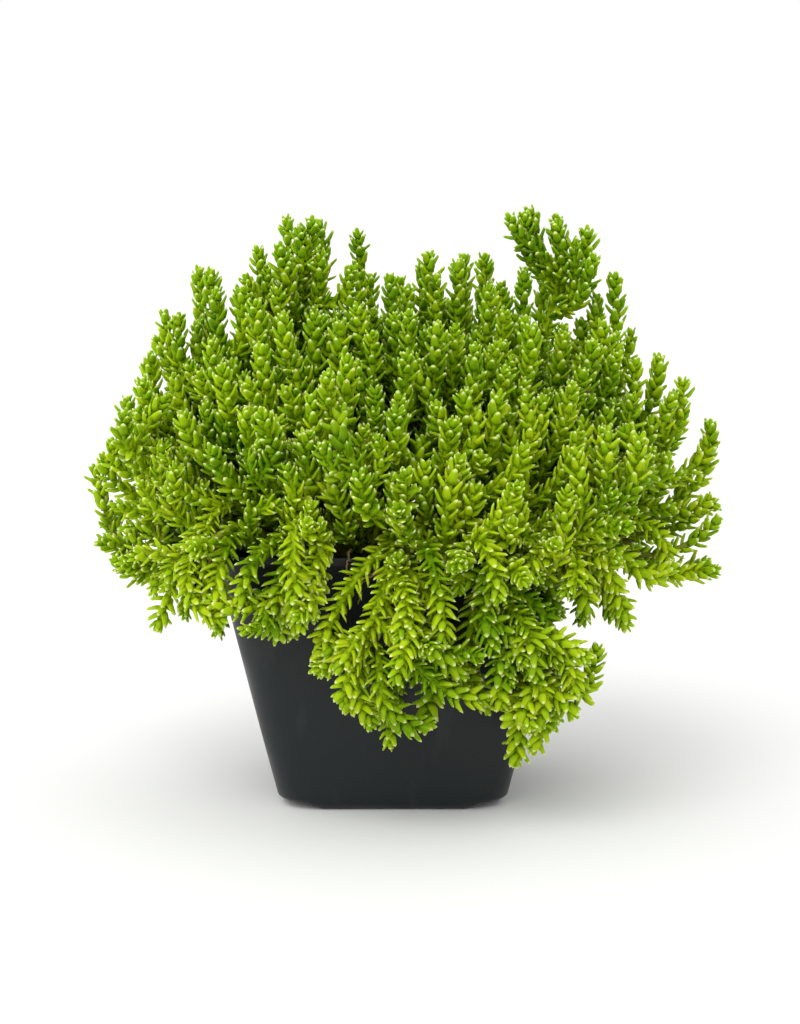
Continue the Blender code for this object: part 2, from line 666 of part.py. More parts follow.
def rounded_square(half, corner, z, lift=0.0):
    """Points round a square with round corners, with a point where the raised corners start."""
    points = []
    for quarter in range(4):
        turn = quarter * math.pi / 2.0
        straight = min(LIFT_START, STRAIGHT_SHARE * half)
        local = [(half, -straight), (half, straight)]
        for step in range(CORNER_STEPS + 1):
            angle = math.pi / 2.0 * step / CORNER_STEPS
            middle = half - corner
            local.append((middle + corner * math.cos(angle), middle + corner * math.sin(angle)))
        along, across = math.cos(turn), math.sin(turn)
        points += [(x * along - y * across, x * across + y * along) for x, y in local]
    ring = []
    for x, y in points:
        ease = min(max((min(abs(x), abs(y)) - LIFT_START) / LIFT_RUN, 0.0), 1.0)
        ring.append((x, y, z + lift * CORNER_LIFT * ease * ease * (3.0 - 2.0 * ease)))
    return ring


def loft(name, rings, cap_first, cap_last, home):
    """A skin through rings of equal count, with a fan at either end where it is wanted."""
    bm = bmesh.new()
    layers = [[bm.verts.new(point) for point in ring] for ring in rings]
    for low, high in zip(layers, layers[1:]):
        for index in range(len(low)):
            after = (index + 1) % len(low)
            bm.faces.new((low[index], low[after], high[after], high[index]))
    for layer, wanted, ring in ((layers[0], cap_first, rings[0]), (layers[-1], cap_last, rings[-1])):
        if wanted:
            middle = bm.verts.new((0.0, 0.0, min(point[2] for point in ring)))
            for index in range(len(layer)):
                bm.faces.new((layer[index], layer[(index + 1) % len(layer)], middle))
    bmesh.ops.recalc_face_normals(bm, faces=bm.faces)
    mesh = bpy.data.meshes.new(name)
    bm.to_mesh(mesh)
    bm.free()
    shape = bpy.data.objects.new(name, mesh)
    home.objects.link(shape)
    return shape


def wall_half(z):
    return BASE_HALF + (RIM_HALF - BASE_HALF) * z / POT_HEIGHT


def wall_corner(z):
    return BASE_CORNER + (RIM_CORNER - BASE_CORNER) * z / POT_HEIGHT


def make_pot(home, cutters, material):
    """A thin wall and floor in one skin, raised at the floor's corners, with four drain holes."""
    lip_low = POT_HEIGHT - LIP_HEIGHT
    rings = [
        rounded_square(RIM_HALF, RIM_CORNER, POT_HEIGHT),
        rounded_square(RIM_HALF, RIM_CORNER, lip_low),
        rounded_square(wall_half(lip_low - LIP_PROUD), RIM_CORNER, lip_low - LIP_PROUD),
        rounded_square(wall_half(HEEL_HEIGHT), wall_corner(HEEL_HEIGHT), HEEL_HEIGHT, HEEL_LIFT),
    ]
    for turn in HEEL_TURNS:
        angle = math.radians(turn)
        inset = HEEL_ROUND * (1.0 - math.cos(angle))
        height = HEEL_ROUND * (1.0 - math.sin(angle))
        half = wall_half(height) - inset
        rings.append(rounded_square(half, BASE_CORNER - inset, height, math.sin(angle)))
    rings.append(rounded_square(LIFT_START + FLOOR_STEP, HEEL_ROUND, 0.0, 1.0))
    pot = loft("pot", rings, False, True, home)
    wall = pot.modifiers.new("Wall", "SOLIDIFY")
    wall.thickness = POT_WALL
    wall.offset = -1.0
    wall.use_even_offset = True
    drains = pot.modifiers.new("Drain holes", "BOOLEAN")
    drains.operand_type = "COLLECTION"
    drains.collection = cutters
    for x in (-DRAIN_PLACE, DRAIN_PLACE):
        for y in (-DRAIN_PLACE, DRAIN_PLACE):
            place = (x, y, CORNER_LIFT)
            cutter(cutters, "drain", place, DRAIN_RADIUS, 4.0 * CORNER_LIFT, DRAIN_SIDES)
    pot.data.materials.append(material)
    shade_round(pot)
    return pot


def cutter(cutters, name, place, radius, depth, sides):
    """A closed cylinder that only cuts."""
    bm = bmesh.new()
    bmesh.ops.create_cone(bm, cap_ends=True, segments=sides, radius1=radius, radius2=radius, depth=depth)
    mesh = bpy.data.meshes.new(name)
    bm.to_mesh(mesh)
    bm.free()
    shape = bpy.data.objects.new(name, mesh)
    shape.location = place
    shape.hide_render = True
    shape.display_type = "WIRE"
    cutters.objects.link(shape)
    return shape


def make_soil(home, cutters, spots, material):
    """Potting mix that fills the pot to just below its rim, with a plain hole for each stem."""
    floor = POT_WALL + CORNER_LIFT + SOIL_CLEAR

    def level(z, inset):
        half = wall_half(z) - POT_WALL - SOIL_CLEAR - inset
        return rounded_square(half, max(wall_corner(z) - POT_WALL - inset, SOIL_CORNER), z)

    surface = level(SOIL_TOP, 0.0)
    waves_x, waves_y = SOIL_WAVES
    crumbs = []
    for x, y, z in surface:
        rise = SOIL_UNEVEN * math.sin(waves_x * x + 1.0) * math.cos(waves_y * y)
        crumbs.append((SOIL_LEVEL_PART * x, SOIL_LEVEL_PART * y, z + rise))
    rings = [level(floor, SOIL_BEVEL), level(floor + SOIL_BEVEL, 0.0), surface, crumbs]
    soil = loft("soil", rings, True, True, home)
    holes = soil.modifiers.new("Stem holes", "BOOLEAN")
    holes.operand_type = "COLLECTION"
    holes.collection = cutters
    radius = (STEM_RADIUS + GAP) / math.cos(math.pi / HOLE_SIDES)
    for x, y, _ in spots:
        cutter(cutters, "stem_hole", (x, y, SOIL_TOP), radius, 2.0 * HOLE_DEPTH, HOLE_SIDES)
    soil.data.materials.append(material)
    shade_round(soil)
    return soil


def shade_round(shape):
    """Smooth shading, with the real corners kept sharp."""
    shape.data.shade_smooth()
    shape.data.set_sharp_from_angle(angle=SHARP_ANGLE)


def finish(name, colour, roughness):
    """A plain surface finish."""
    material = bpy.data.materials.new(name)
    material.use_nodes = True
    shader = material.node_tree.nodes["Principled BSDF"]
    shader.inputs["Base Color"].default_value = (*colour, 1.0)
    shader.inputs["Roughness"].default_value = roughness
    shader.inputs["Metallic"].default_value = 0.0
    material.diffuse_color = (*colour, 1.0)
    return material


def new_collection(name):
    collection = bpy.data.collections.new(name)
    bpy.context.scene.collection.children.link(collection)
    return collection


def main():
    for old in list(bpy.data.objects):
        bpy.data.objects.remove(old)
    home = new_collection(COLLECTION_NAME)
    drains = new_collection("drain_cutters")
    holes = new_collection("stem_hole_cutters")
    make_pot(home, drains, finish("black_plastic", *PLASTIC))
    shoots = make_shoots()
    free_room(shoots)
    leaf = finish("sedum_leaf", *LEAF)
    sprays = {}
    for shoot in shoots:
        sprays.setdefault(shoot.spray, []).append(shoot)
    spots = [members[0].first[0] for members in sprays.values()]
    make_soil(home, holes, spots, finish("potting_mix", *MIX))
    for name, members in sprays.items():
        make_spray(name, members, home, leaf)


if __name__ == "__main__":
    main()
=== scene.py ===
"""The looks of a sedum in a square black nursery pot, laid out as an add-on.

Each operator builds one piece, or one group of like pieces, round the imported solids.
"""
import json
import math

import bmesh
import bpy
import numpy as np
from bpy.props import FloatProperty, FloatVectorProperty, IntProperty, PointerProperty
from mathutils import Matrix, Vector

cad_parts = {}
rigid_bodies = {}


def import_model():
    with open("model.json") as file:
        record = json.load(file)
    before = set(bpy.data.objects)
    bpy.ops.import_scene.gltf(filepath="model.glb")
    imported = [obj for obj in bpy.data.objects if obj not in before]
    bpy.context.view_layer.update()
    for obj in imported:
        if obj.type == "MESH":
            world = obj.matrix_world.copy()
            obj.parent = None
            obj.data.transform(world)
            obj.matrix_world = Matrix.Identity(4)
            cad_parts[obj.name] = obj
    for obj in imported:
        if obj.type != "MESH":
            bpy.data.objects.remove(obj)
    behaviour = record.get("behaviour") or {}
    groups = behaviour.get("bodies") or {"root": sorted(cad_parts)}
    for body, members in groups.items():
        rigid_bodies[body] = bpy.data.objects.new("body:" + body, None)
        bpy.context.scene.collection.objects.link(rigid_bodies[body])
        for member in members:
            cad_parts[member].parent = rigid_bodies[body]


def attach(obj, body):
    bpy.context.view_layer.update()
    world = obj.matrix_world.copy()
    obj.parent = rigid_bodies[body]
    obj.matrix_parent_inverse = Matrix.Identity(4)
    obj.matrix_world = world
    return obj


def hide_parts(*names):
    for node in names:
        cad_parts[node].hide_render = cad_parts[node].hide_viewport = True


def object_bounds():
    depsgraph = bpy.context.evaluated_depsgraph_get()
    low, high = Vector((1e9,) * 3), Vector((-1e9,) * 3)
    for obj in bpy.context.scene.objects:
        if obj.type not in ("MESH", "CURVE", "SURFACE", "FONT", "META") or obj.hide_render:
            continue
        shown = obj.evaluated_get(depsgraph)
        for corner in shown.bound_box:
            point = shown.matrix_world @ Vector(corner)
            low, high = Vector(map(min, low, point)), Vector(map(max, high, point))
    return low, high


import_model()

bl_info = {
    "name": "Potted Sedum",
    "version": (1, 0, 0),
    "blender": (4, 5, 0),
    "location": "3D View > Sidebar > Sedum",
    "description": "Builds a leafy sedum, its nursery pot and potting mix, and a plain studio",
    "category": "Add Mesh",
}

CAD_LOW, CAD_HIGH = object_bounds()

# Pot, soil and stems, in metres, as the solids have them

POT_HEIGHT = 0.080
RIM_HALF = 0.0525
BASE_HALF = 0.0345
POT_WALL = 0.0012
LIP_HEIGHT = 0.0022
LIP_PROUD = 0.0006
LIP_ROUND = 0.0004
RIM_CORNER = 0.0130
BASE_CORNER = 0.0100
HEEL_HEIGHT = 0.0060
HEEL_ROUND = 0.0032
FLOOR_STEP = 0.0015
CORNER_LIFT = 0.0024
LIFT_START = 0.0225
LIFT_RUN = 0.0050
DRAIN_RADIUS = 0.0030
DRAIN_PLACE = 0.0235
GAP = 0.0003

SOIL_TOP = 0.0725
SOIL_UNEVEN = 0.0008
SOIL_CLEAR = 0.0005
HOLE_DEPTH = 0.0090

STEM_RADIUS = 0.0014
STEM_BASE = SOIL_TOP + SOIL_UNEVEN + GAP
LEAF_REACH = 0.0054
LEAFY_LENGTH = 0.044
LEAFY_SPREAD = (0.85, 1.2)
STEM_BARE = 0.010
FORK_BARE = 0.005
PAST_FORK = 0.05

MOUND_SIDE = 0.086
MOUND_FRONT = 0.062
MOUND_BACK = 0.074
MOUND_WAIST = 0.090
MOUND_TOP = 0.153
MOUND_BOXY = 0.8
MOUND_DOMED = 0.75
TIP_JITTER = (0.003, 0.003, 0.006)
EDGE_ANGLE = math.radians(100.0)
EDGE_CROWDING = 1.36
SOIL_SPREAD = 0.036
SOIL_SQUARENESS = 4
FOOT_SPACING = 0.0075
FOOT_ROUNDS = 30
RIM_PASS = 0.0075
NEAR_RIM = 0.016
TRAILING_SIDE = 0.045
TRAILING_FRONT = -0.045
OVER_TRAILING = 0.098
TURN_UP = 2.2
LATE_RISE = 0.9
SIDE_CROWDING = 0.14
ARCH_EARLY = 0.6
ARCH_LEAST = 0.2

LANES = 118
CROWN_SPRAYS = 28
GOLDEN_ANGLE = math.pi * (3.0 - math.sqrt(5.0))
CURVE_STEPS = 10
ROUTE_POINTS = 15
DENSE_POINTS = 61
FIRST_FORK = 2
FORK_PLACES = 3
YOUNG_POINTS = 4
FOOT_POINTS = 2
BEND_ROUNDS = 120
PAIR_ROUNDS = 10
PAIR_MARGIN = 0.005
PUSH = 0.35
SMOOTHING = 0.25
KIN_ROOM = 0.90
DRAWN_GIVE = 0.2
ANY_SIDE = (0.3, 1.0, 0.1)
SEED = 11

# These keep divisions away from zero
TINY = 1e-6
TINIEST = 1e-9

# Shoots between the modelled ones, which only the fine model has

FILL_SEED = 23
FILL_BEND_ROUNDS = 40
FILL_ROOM = 0.72
MOUND_HEART = (0.0, 0.0, 0.086)
UNDER_REACH = (0.80, 0.97)
UPRIGHT_TIP = (0.103, 0.120)

# Added shoots end within these limits, and leave the pot's bare corner free
SIDE_LIMITS = (0.090, 0.080, 0.168)
LOW_LIMIT = 0.057
FOOT_LIMIT = 0.031
BARE_CORNER = (-0.037, -0.040)

# Side shoots: middle and tip lie along the stem and out from it by shares of the reach
SIDE_PLACES = (0.35, 0.80)
SIDE_REACH = (0.010, 0.019)
SIDE_MIDDLE = (0.30, 0.50)
SIDE_TIP = (0.85, 0.65)
SIDE_RISE = 0.25
SIDE_LENGTH_EACH = 0.042
TRAILING_LENGTH_EACH = 0.0150
TRAILING_GROWTH = 1.25

# Shoots that cross the rim, each in its own slot of the way round or along
SLOT_PART = (0.1, 0.9)
RIM_SQUARENESS = 6
INSIDE_RIM = 0.009
OVER_RIM_INSIDE = 0.004
OVER_RIM_OUTSIDE = 0.006
OUTSIDE_SHARE = 0.45
APRON_OUT = (0.006, 0.014)
APRON_HEIGHT = (0.098, 0.124)
FRONT_SPAN = (-0.030, 0.048)
FRONT_TURN = 0.35
FRONT_OUT = (0.008, 0.018)
FRONT_HEIGHT = (0.062, 0.080)

# Leaves and stems: leans are in degrees from the stem, and a leaf is aged far below the shoot's tip

TIP_PITCH = 0.00032
ROSETTE_DEPTH = 0.0048
SPARSE_FROM = 0.024
SPARSE_PITCH = 0.0017
NEAR_DEPTH = 0.016
LEAF_SPAN = 0.042
TURN_SCATTER = 0.20
TIP_LEAN = 48.0
GROWN_LEAN = 10.0
AGED_LEAN = 6.0
LEAN_SCATTER = 9.0
LEAN_POWER = 0.6
LIGHT_PULL = 0.10
LEAF_CURL = (0.20, 0.42)
TIP_SIZE = 0.62
SIZE_POWER = 0.8
WIDTH_POWER = 0.75
AGED_LOSS = 0.12
LEAF_SIZES = (0.86, 1.12)
SHOOT_SIZES = (0.84, 1.06)
SHORTEST_SHARE = 0.62
FULL_SIZE_LENGTH = 0.05
UPPER_PLUMP = 0.36
UNDER_PLUMP = 0.50
PLUMP_POWER = 0.8

# Leaves of hanging shoots, against the others
LOOSE_LEAF = 1.02
LOOSE_SLIM = 0.96
LOOSE_PITCH = 0.74
LOOSE_LEAN = 4.0
LOOSE_SPAN = 0.45

# What sets each leaf's colour: its height, painted shade by its depth inside the mound, and its
# nearness to the tip
TINT_HEIGHT = 0.085
TINT_LOW = 0.16
TINT_RISE = 0.46
TINT_SHADE = 0.8
TINT_SCATTER = 0.17
MOUND_SHAPE = (0.090, 0.070, 0.078)
SHADE_FROM = 0.84
SHADE_DEPTH = 0.26
RIPE_DEPTH = 1.6 * ROSETTE_DEPTH
DRY_SHARE = 0.004
DRY_FROM = 0.6 * SPARSE_FROM

STEM_SIDES = 4
STEM_RINGS = 10
STEM_TINT = 0.25
STEM_FOOT = 1.25
STEM_TIP = 0.7
MAIN_WOOD = 0.9
FORK_WOOD = 0.5
WOODY_HEIGHT = 0.014

# Colour layers of a leaf, in order: what sets each, from what value to what value it comes in,
# how much it covers before and after, and whose colour it is
LEAF_LAYERS = (
    ("tint", 0.0, 0.80, 0.0, 1.0, "young"),
    ("patches", 0.42, 0.68, 0.0, 1.0, "deep"),
    # Darker, greener leaf bases: painted shade where the leaves meet the stem
    ("along", 0.0, 0.60, 0.22, 0.0, "deep"),
    ("ripe", 0.25, 1.0, 0.0, 0.55, "young"),
    # Pale tips: partly the leaf's own pale point, partly a painted highlight
    ("along", 0.81, 0.99, 0.0, 0.95, "pale"),
    # Painted shade: leaves deep inside the mound darkened towards the shaded colour
    ("tint", 0.82, 1.0, 0.0, 0.80, "shaded"),
)

# Finer shapes of the pot and the soil: turns are in degrees, and waves in radians a metre

CORNER_STEPS = 10
SIDE_STEPS = 14
WALL_STEPS = 10
WALL_START = 0.9
LIP_TURNS = (90.0, 55.0, 20.0, 0.0)
HEEL_TURNS = (10.0, 25.0, 40.0, 55.0, 70.0, 80.0, 90.0)
HEEL_LIFT = 0.45
WALL_LIFT = 0.4
WALL_LIFT_POWER = 6
DRAIN_SIDES = 32
SHARP_ANGLE = math.radians(40.0)
SOIL_RINGS = 20
SOIL_MIDDLE = 0.06
WAVE_X = 140.0
WAVE_Y = 170.0
WAVE_PHASE = 1.0
GRAIN_X = 900.0
GRAIN_Y = 810.0
GRAIN_PHASE = 1.3
GRAIN_TWIST = 3.0
TWIST_Y = 700.0
GRAIN_HEIGHT = 0.0004
CRUMB_SEED = FILL_SEED + 1
CRUMB_SIZES = (0.5, 1.5)
CRUMB_STRETCH = ((0.7, 1.9), (0.6, 1.1), (0.35, 0.8))
CRUMB_LUMPS = (0.75, 1.2)

# Dry roots and old stems

ROOT_SEED = FILL_SEED + 2
ROOT_POINTS = 40
ROOT_SIDES = 5
ROOT_WANDER = 0.00022
ROOT_RADII = (0.00036, 0.00016)
OLD_POINTS = 24
OLD_SIDES = 9
OLD_WOOD = 0.40
KNOT_HEIGHT = 0.08
KNOT_TURNS = 26.0

# Studio

AIM = Vector((0.0022, 0.0, 0.086))
KEY_PLACE = (-0.35, -0.85, 0.92)
KEY_ANGLE = math.radians(50.0)
SIDE_PLACE = (-1.1, -0.15, 0.35)
SIDE_SIZE = 0.7
FLOOR_SIDES = 96
CLIP_START = 0.01

# Places chosen one by one, all in millimetres

# Boxes kept free of added shoots, each by its low and its high corner
CLEARINGS = (
    ((-52, -80, 70), (-34, -40, 93)), ((-20, -80, 62), (-1, -44, 84)),
    ((-9, -80, 158), (2, 80, 190)), ((-50, -80, 162), (-40, 80, 190)),
    ((36, -80, 153), (46, 80, 165)), ((7, -80, 0), (29, -44, 40)), ((16, -80, 62), (22, -44, 72)),
    ((-52, -80, 0), (-25, -40, 62)), ((-52, -80, 0), (-17, -40, 44)),
    ((48, -80, 0), (80, -40, 36)), ((-100, -80, 97), (-83, 80, 118)),
    ((-100, -80, 118), (-79, 80, 160)), ((-86, -80, 84), (-78, 80, 98)),
)

# Tips of crown shoots that stand out in the outline or towards the viewer
CROWN_TIPS = (
    (-79, 2, 121), (-83, 6, 111), (-70, 0, 147), (-60, 6, 160), (-53, -10, 154), (-40, 14, 158),
    (-13, 8, 171), (-13, -8, 156), (9, 10, 161), (22, 4, 164), (29, 14, 163), (38, 6, 160),
    (60, 4, 154), (67, 0, 157), (64, -10, 143), (71, 6, 141), (82, 0, 133), (87, -6, 127),
    (98, 0, 113), (100, 0, 88), (88, 8, 112), (-38, -38, 139), (-23, -27, 148), (-13, -49, 136),
    (-23, -54, 126), (-28, -56, 117), (-47, -50, 111), (-63, -42, 104), (2, -56, 126),
    (4, -47, 137), (10, -61, 108), (17, -58, 119), (21, -60, 102), (30, -52, 126), (43, -48, 125),
    (52, -41, 128), (59, -44, 107), (66, -40, 95), (35, -55, 112), (77, -27, 101), (-13, -61, 107),
    (-42, -50, 121), (-32, -58, 98), (47, -51, 91), (24, -43, 139), (13, -38, 145), (41, -28, 144),
    (61, -17, 139), (-48, -39, 133),
)

# Tips of upright shoots between the modelled ones, where the photo shows one more
FILL_TIPS = (
    (13.5, -4, 158), (20, 0, 162), (40, -4, 160), (-65.5, -4, 146), (-74, -3, 134),
    (-46.5, -6, 155), (74, -6, 132), (-55.5, -2, 159), (29, -12, 155), (62.5, 0, 152),
)

# Small shoots that leave a spray and have no solids of their own
ADDED_SHOOTS = (
    ("spray_branched_top", [
        [(50, 3, 158), (45, 0, 166), (39, -2, 170), (36, -2, 176)],
        [(47, 3, 160), (44, 4, 168), (42, 4, 178)],
        [(52, 4, 154), (52, 0, 164), (50, -2, 174)],
        [(51, 4, 146), (56, 0, 156), (55, -2, 169)],
    ]),
    ("spray_crest", [
        [(-28, 4, 150), (-26, -1, 162), (-25, -3, 175)],
        [(-29, 4, 146), (-28, -3, 160), (-28, -5, 172)],
        [(-27, 6, 140), (-23, -2, 152), (-22, -4, 165)],
        [(-28, 5, 138), (-38, 0, 148), (-38, -1, 160)],
        [(-28, 5, 142), (-31, -6, 152), (-32, -8, 163)],
    ]),
    ("spray_left_low", [
        [(-58, 2, 81), (-68, -6, 73), (-77, -10, 70), (-84, -12, 73)],
        [(-60, 2, 79), (-70, 0, 70), (-79, -4, 67), (-85, -4, 70)],
        [(-56, 2, 82), (-66, -10, 78), (-72, -15, 80), (-75, -15, 90)],
        [(-56, 2, 82), (-64, -14, 74), (-70, -18, 68), (-73, -17, 64)],
        [(-58, 3, 81), (-67, -14, 74), (-74, -16, 74), (-80, -14, 81)],
    ]),
    ("spray_left_front", [
        [(-44, -40, 87), (-47, -53, 84), (-49.5, -59, 76), (-49.5, -58, 65)],
        [(-50, -40, 86), (-56, -50, 81), (-58, -53, 74), (-55, -52, 67)],
        [(-52, -41, 85), (-60, -48, 81), (-65, -50, 74)],
        [(-50, -36, 87), (-58, -52, 80), (-57, -58, 69), (-49, -61, 64)],
    ]),
    ("spray_front_left", [
        [(-20, -50, 87), (-24, -60, 78), (-34, -63, 69), (-45, -63, 67), (-52, -60, 69)],
        [(-22, -50, 87), (-30, -60, 79), (-34, -62, 66), (-33, -59, 58)],
        [(-18, -50, 87), (-21, -62, 82), (-24, -66, 74), (-23, -66, 66)],
    ]),
    ("spray_trailing_left", [
        [(-6, -65, 64), (-11, -70, 58), (-15, -69, 51)],
        [(-6, -64, 60), (-12, -69, 50), (-14, -65, 41)],
        [(-8, -62, 54), (-10, -66, 44), (-6, -64, 34)],
        [(-4, -63, 56), (-3, -69, 44), (3, -67, 35), (10, -64, 34)],
        [(0, -60, 80), (4, -74, 72), (2, -78, 62)],
        [(2, -66, 66), (12, -74, 58), (19, -71, 50)],
    ]),
    ("spray_trailing_right", [
        [(31, -62, 70), (38, -72, 62), (40, -72, 50)],
        [(34, -64, 62), (30, -72, 52), (31, -68, 40)],
        [(35, -63, 56), (42, -70, 46), (42, -64, 34)],
        [(37, -60, 44), (43, -62, 34), (41, -58, 25)],
    ]),
    ("spray_right_front", [
        [(44, -38, 88), (51, -53, 83), (55, -57, 73), (55, -55, 65)],
        [(46, -38, 88), (55, -50, 83), (62, -52, 77), (65, -50, 71)],
    ]),
    ("spray_right_low", [
        [(62, -8, 76), (79, -6, 73), (92, -5, 77), (100, -4, 84)],
        [(60, -8, 78), (76, -10, 70), (89, -9, 68), (99, -8, 69)],
    ]),
    ("spray_right_rim", [
        [(66, 16, 79), (80, 8, 78), (91, 2, 82), (98.5, 0, 90)],
        [(72, 16, 76), (86, 8, 86), (96, 4, 96), (99, 2, 107)],
    ]),
    ("spray_trailing_right", [
        [(30, -62, 76), (26, -72, 68), (28, -74, 58)],
    ]),
)

# Thin dry roots at the rim
ROOTS = (
    [(2, -49, 82), (1, -58, 79), (-3, -61, 77), (-9, -61, 75), (-13, -59, 70), (-13, -56, 65)],
    [(4, -49, 82), (-1, -58, 79), (-6, -60, 76.5), (-10, -60, 72)],
    [(-12, -49, 82), (-13, -56, 77), (-9, -57, 72), (-10, -56, 67)],
    [(30, -49, 82), (34, -56, 78), (36, -57, 71), (38, -56, 65)],
    [(-49, -47, 82), (-53, -54, 81), (-50.5, -56, 74), (-49, -55, 69)],
)

# Old stems without leaves, each with its radius in metres
OLD_STEMS = (
    (0.0012, [(-40, 0, 76), (-50, -6, 85), (-62, -10, 78), (-74, -9, 70), (-85, -10, 69.5)]),
    (0.0012, [(-34, -30, 76), (-42, -40, 86), (-50, -48, 86), (-57, -52, 79)]),
    (0.0010, [(-22, -34, 76), (-26, -46, 86), (-33, -56, 84), (-41, -59, 77)]),
)

# Sprays drawn one by one: the first route of each stands in the soil
DRAWN_SPRAYS = {
    "spray_left_low": [
        [(-36, 4, 73), (-46, 4, 86), (-57, 3, 82), (-68, 2, 70),
         (-77, 1, 68), (-85, 0, 80), (-91, 0, 99)],
        [(-57, 3, 82), (-61, -6, 70), (-64, -10, 55)],
        [(-62, 3, 77), (-69, 12, 64), (-79, 14, 63)],
    ],
    "spray_crest": [
        [(-12, 6, 73), (-19, 6, 100), (-27, 6, 130), (-29, 5, 152), (-31, 5, 175)],
        [(-29, 6, 150), (-24, 6, 161), (-24, 6, 174)],
        [(-28, 6, 140), (-35, 4, 151), (-36, 3, 167)],
    ],
    "spray_branched_top": [
        [(12, 10, 73), (26, 8, 100), (42, 6, 130), (50, 4, 152), (50, 2, 174)],
        [(50, 4, 150), (56, 6, 158), (57, 4, 172)],
        [(50, 4, 154), (44, 2, 164), (40, 0, 177)],
    ],
    "spray_trailing_left": [
        [(0, -34, 73), (0, -46, 88), (-2, -60, 80), (-6, -65, 64), (-9, -62, 50), (-12, -58, 37)],
        [(-1, -54, 86), (-10, -62, 74), (-17, -64, 60), (-17, -60, 48)],
        [(-3, -63, 72), (2, -64, 52), (0, -60, 40), (-1, -56, 26)],
        [(-1, -61, 78), (6, -70, 66), (4, -74, 52)],
        [(-6, -65, 65), (6, -71, 53), (16, -67, 45), (25, -61, 43)],
        [(0, -58, 82), (10, -66, 70), (12, -64, 54), (9, -58, 32)],
    ],
    "spray_trailing_right": [
        [(24, -34, 73), (26, -46, 88), (29, -60, 78), (34, -64, 62), (37, -60, 44), (36, -54, 21)],
        [(28, -56, 83), (22, -62, 66), (22, -58, 46), (29, -54, 36)],
        [(31, -62, 72), (43, -64, 62), (46, -60, 48), (46, -54, 31)],
        [(33, -63, 66), (48, -66, 54), (54, -60, 42), (59, -56, 54)],
    ],
    "spray_front_left": [
        [(-28, -34, 73), (-29, -46, 88), (-28, -58, 78), (-27, -58, 58)],
        [(-29, -50, 86), (-38, -60, 80), (-47, -60, 66)],
        [(-29, -52, 86), (-20, -62, 80), (-14, -62, 73)],
    ],
    "spray_left_front": [
        [(-34, -26, 73), (-46, -36, 88), (-56, -43, 81), (-64, -43, 69), (-69, -41, 58)],
        [(-53, -42, 84), (-53, -53, 74), (-50, -56, 61)],
    ],
    "spray_right_front": [
        [(36, -28, 73), (46, -38, 88), (56, -46, 82), (64, -48, 71), (68, -46, 59)],
        [(54, -45, 84), (66, -38, 78), (76, -34, 71), (83, -32, 74)],
    ],
    "spray_right_rim": [
        [(34, 14, 73), (46, 16, 88), (58, 16, 83), (72, 16, 74), (84, 14, 80), (90, 12, 97)],
        [(60, 16, 82), (70, 26, 73), (82, 30, 66)],
    ],
    "spray_right_low": [
        [(34, -10, 73), (46, -11, 88), (58, -10, 80), (63, -8, 68), (68, -6, 54)],
        [(54, -11, 84), (58, -20, 72), (57, -24, 56)],
        [(59, -10, 78), (72, 0, 70), (86, 2, 66), (97, 0, 70)],
    ],
}


def metres(places):
    """Listed places, as an array in metres."""
    return np.array(places, dtype=float) / 1000.0


# Settings


def length_setting(name, description, default):
    return FloatProperty(
        name=name, description=description, default=default, min=0.0, unit="LENGTH", precision=5
    )


def colour_setting(name, description, default):
    return FloatVectorProperty(
        name=name, description=description, default=default, subtype="COLOR", min=0.0, max=1.0
    )


def count_setting(name, description, default):
    return IntProperty(name=name, description=description, default=default, min=0)


def plain_setting(name, description, default, least=0.0, **more):
    return FloatProperty(name=name, description=description, default=default, min=least, **more)


class SEDUM_PG_plant(bpy.types.PropertyGroup):
    """Sizes and colours of the leaves and stems"""

    leaf_length: length_setting("Leaf length", "Length of a full-grown leaf", 0.0047)
    leaf_width: length_setting("Leaf width", "Widest part of a full-grown leaf", 0.0028)
    leaf_thickness: length_setting("Leaf thickness", "How plump a full-grown leaf is", 0.0015)
    leaf_pitch: length_setting("Leaf pitch", "Distance from one leaf to the next", 0.00087)
    stem_radius: length_setting("Stem radius", "Radius of a leafy shoot's stem", 0.0014)
    under_shoots: count_setting("Inner shoots", "Shoots that fill the mound", 118)
    apron_shoots: count_setting("Rim shoots", "Shoots that lean over the rim", 36)
    front_shoots: count_setting("Front shoots", "Shoots that hang over the front", 14)
    young: colour_setting("Young leaf", "Leaves in the rosette at a tip", (0.190, 0.350, 0.003))
    full: colour_setting("Full leaf", "Sunlit full-grown leaves", (0.362, 0.492, 0.007))
    # Deep green of patches here and there, also used as painted shade at the leaf bases
    deep: colour_setting("Deep leaf", "Greener leaves here and there", (0.112, 0.232, 0.002))
    # Painted shade: the colour that leaves deep inside the mound are darkened to
    shaded: colour_setting("Shaded leaf", "Leaves deep inside the mound", (0.052, 0.098, 0.001))
    # Pale leaf tips: partly the leaf's own pale point, partly a painted highlight
    pale: colour_setting("Leaf tip", "The pale point of each leaf", (0.730, 0.800, 0.330))
    wood: colour_setting("Old stem", "Bare lower stems and dried leaves", (0.200, 0.120, 0.050))


class SEDUM_PG_pot(bpy.types.PropertyGroup):
    """Sizes and colours of the pot"""

    lip_round: length_setting("Lip rounding", "Radius of the lip's edges", LIP_ROUND)
    plastic: colour_setting("Plastic", "The pot's moulded plastic", (0.0062, 0.0096, 0.0102))
    scuffed: colour_setting("Scuffs", "Faint scuffs and dust on the plastic", (0.022, 0.025, 0.026))
    roughness: plain_setting("Roughness", "Satin finish of the plastic", 0.40, max=1.0)


class SEDUM_PG_soil(bpy.types.PropertyGroup):
    """Sizes and colours of the potting mix"""

    crumbs: count_setting("Crumbs", "Loose crumbs and bark on the surface", 420)
    crumb_size: length_setting("Crumb size", "Usual radius of a crumb", 0.0011)
    dark: colour_setting("Damp mix", "The potting mix where it is damp", (0.012, 0.008, 0.006))
    light: colour_setting("Bark", "Dry bark and fibre in the mix", (0.090, 0.052, 0.028))


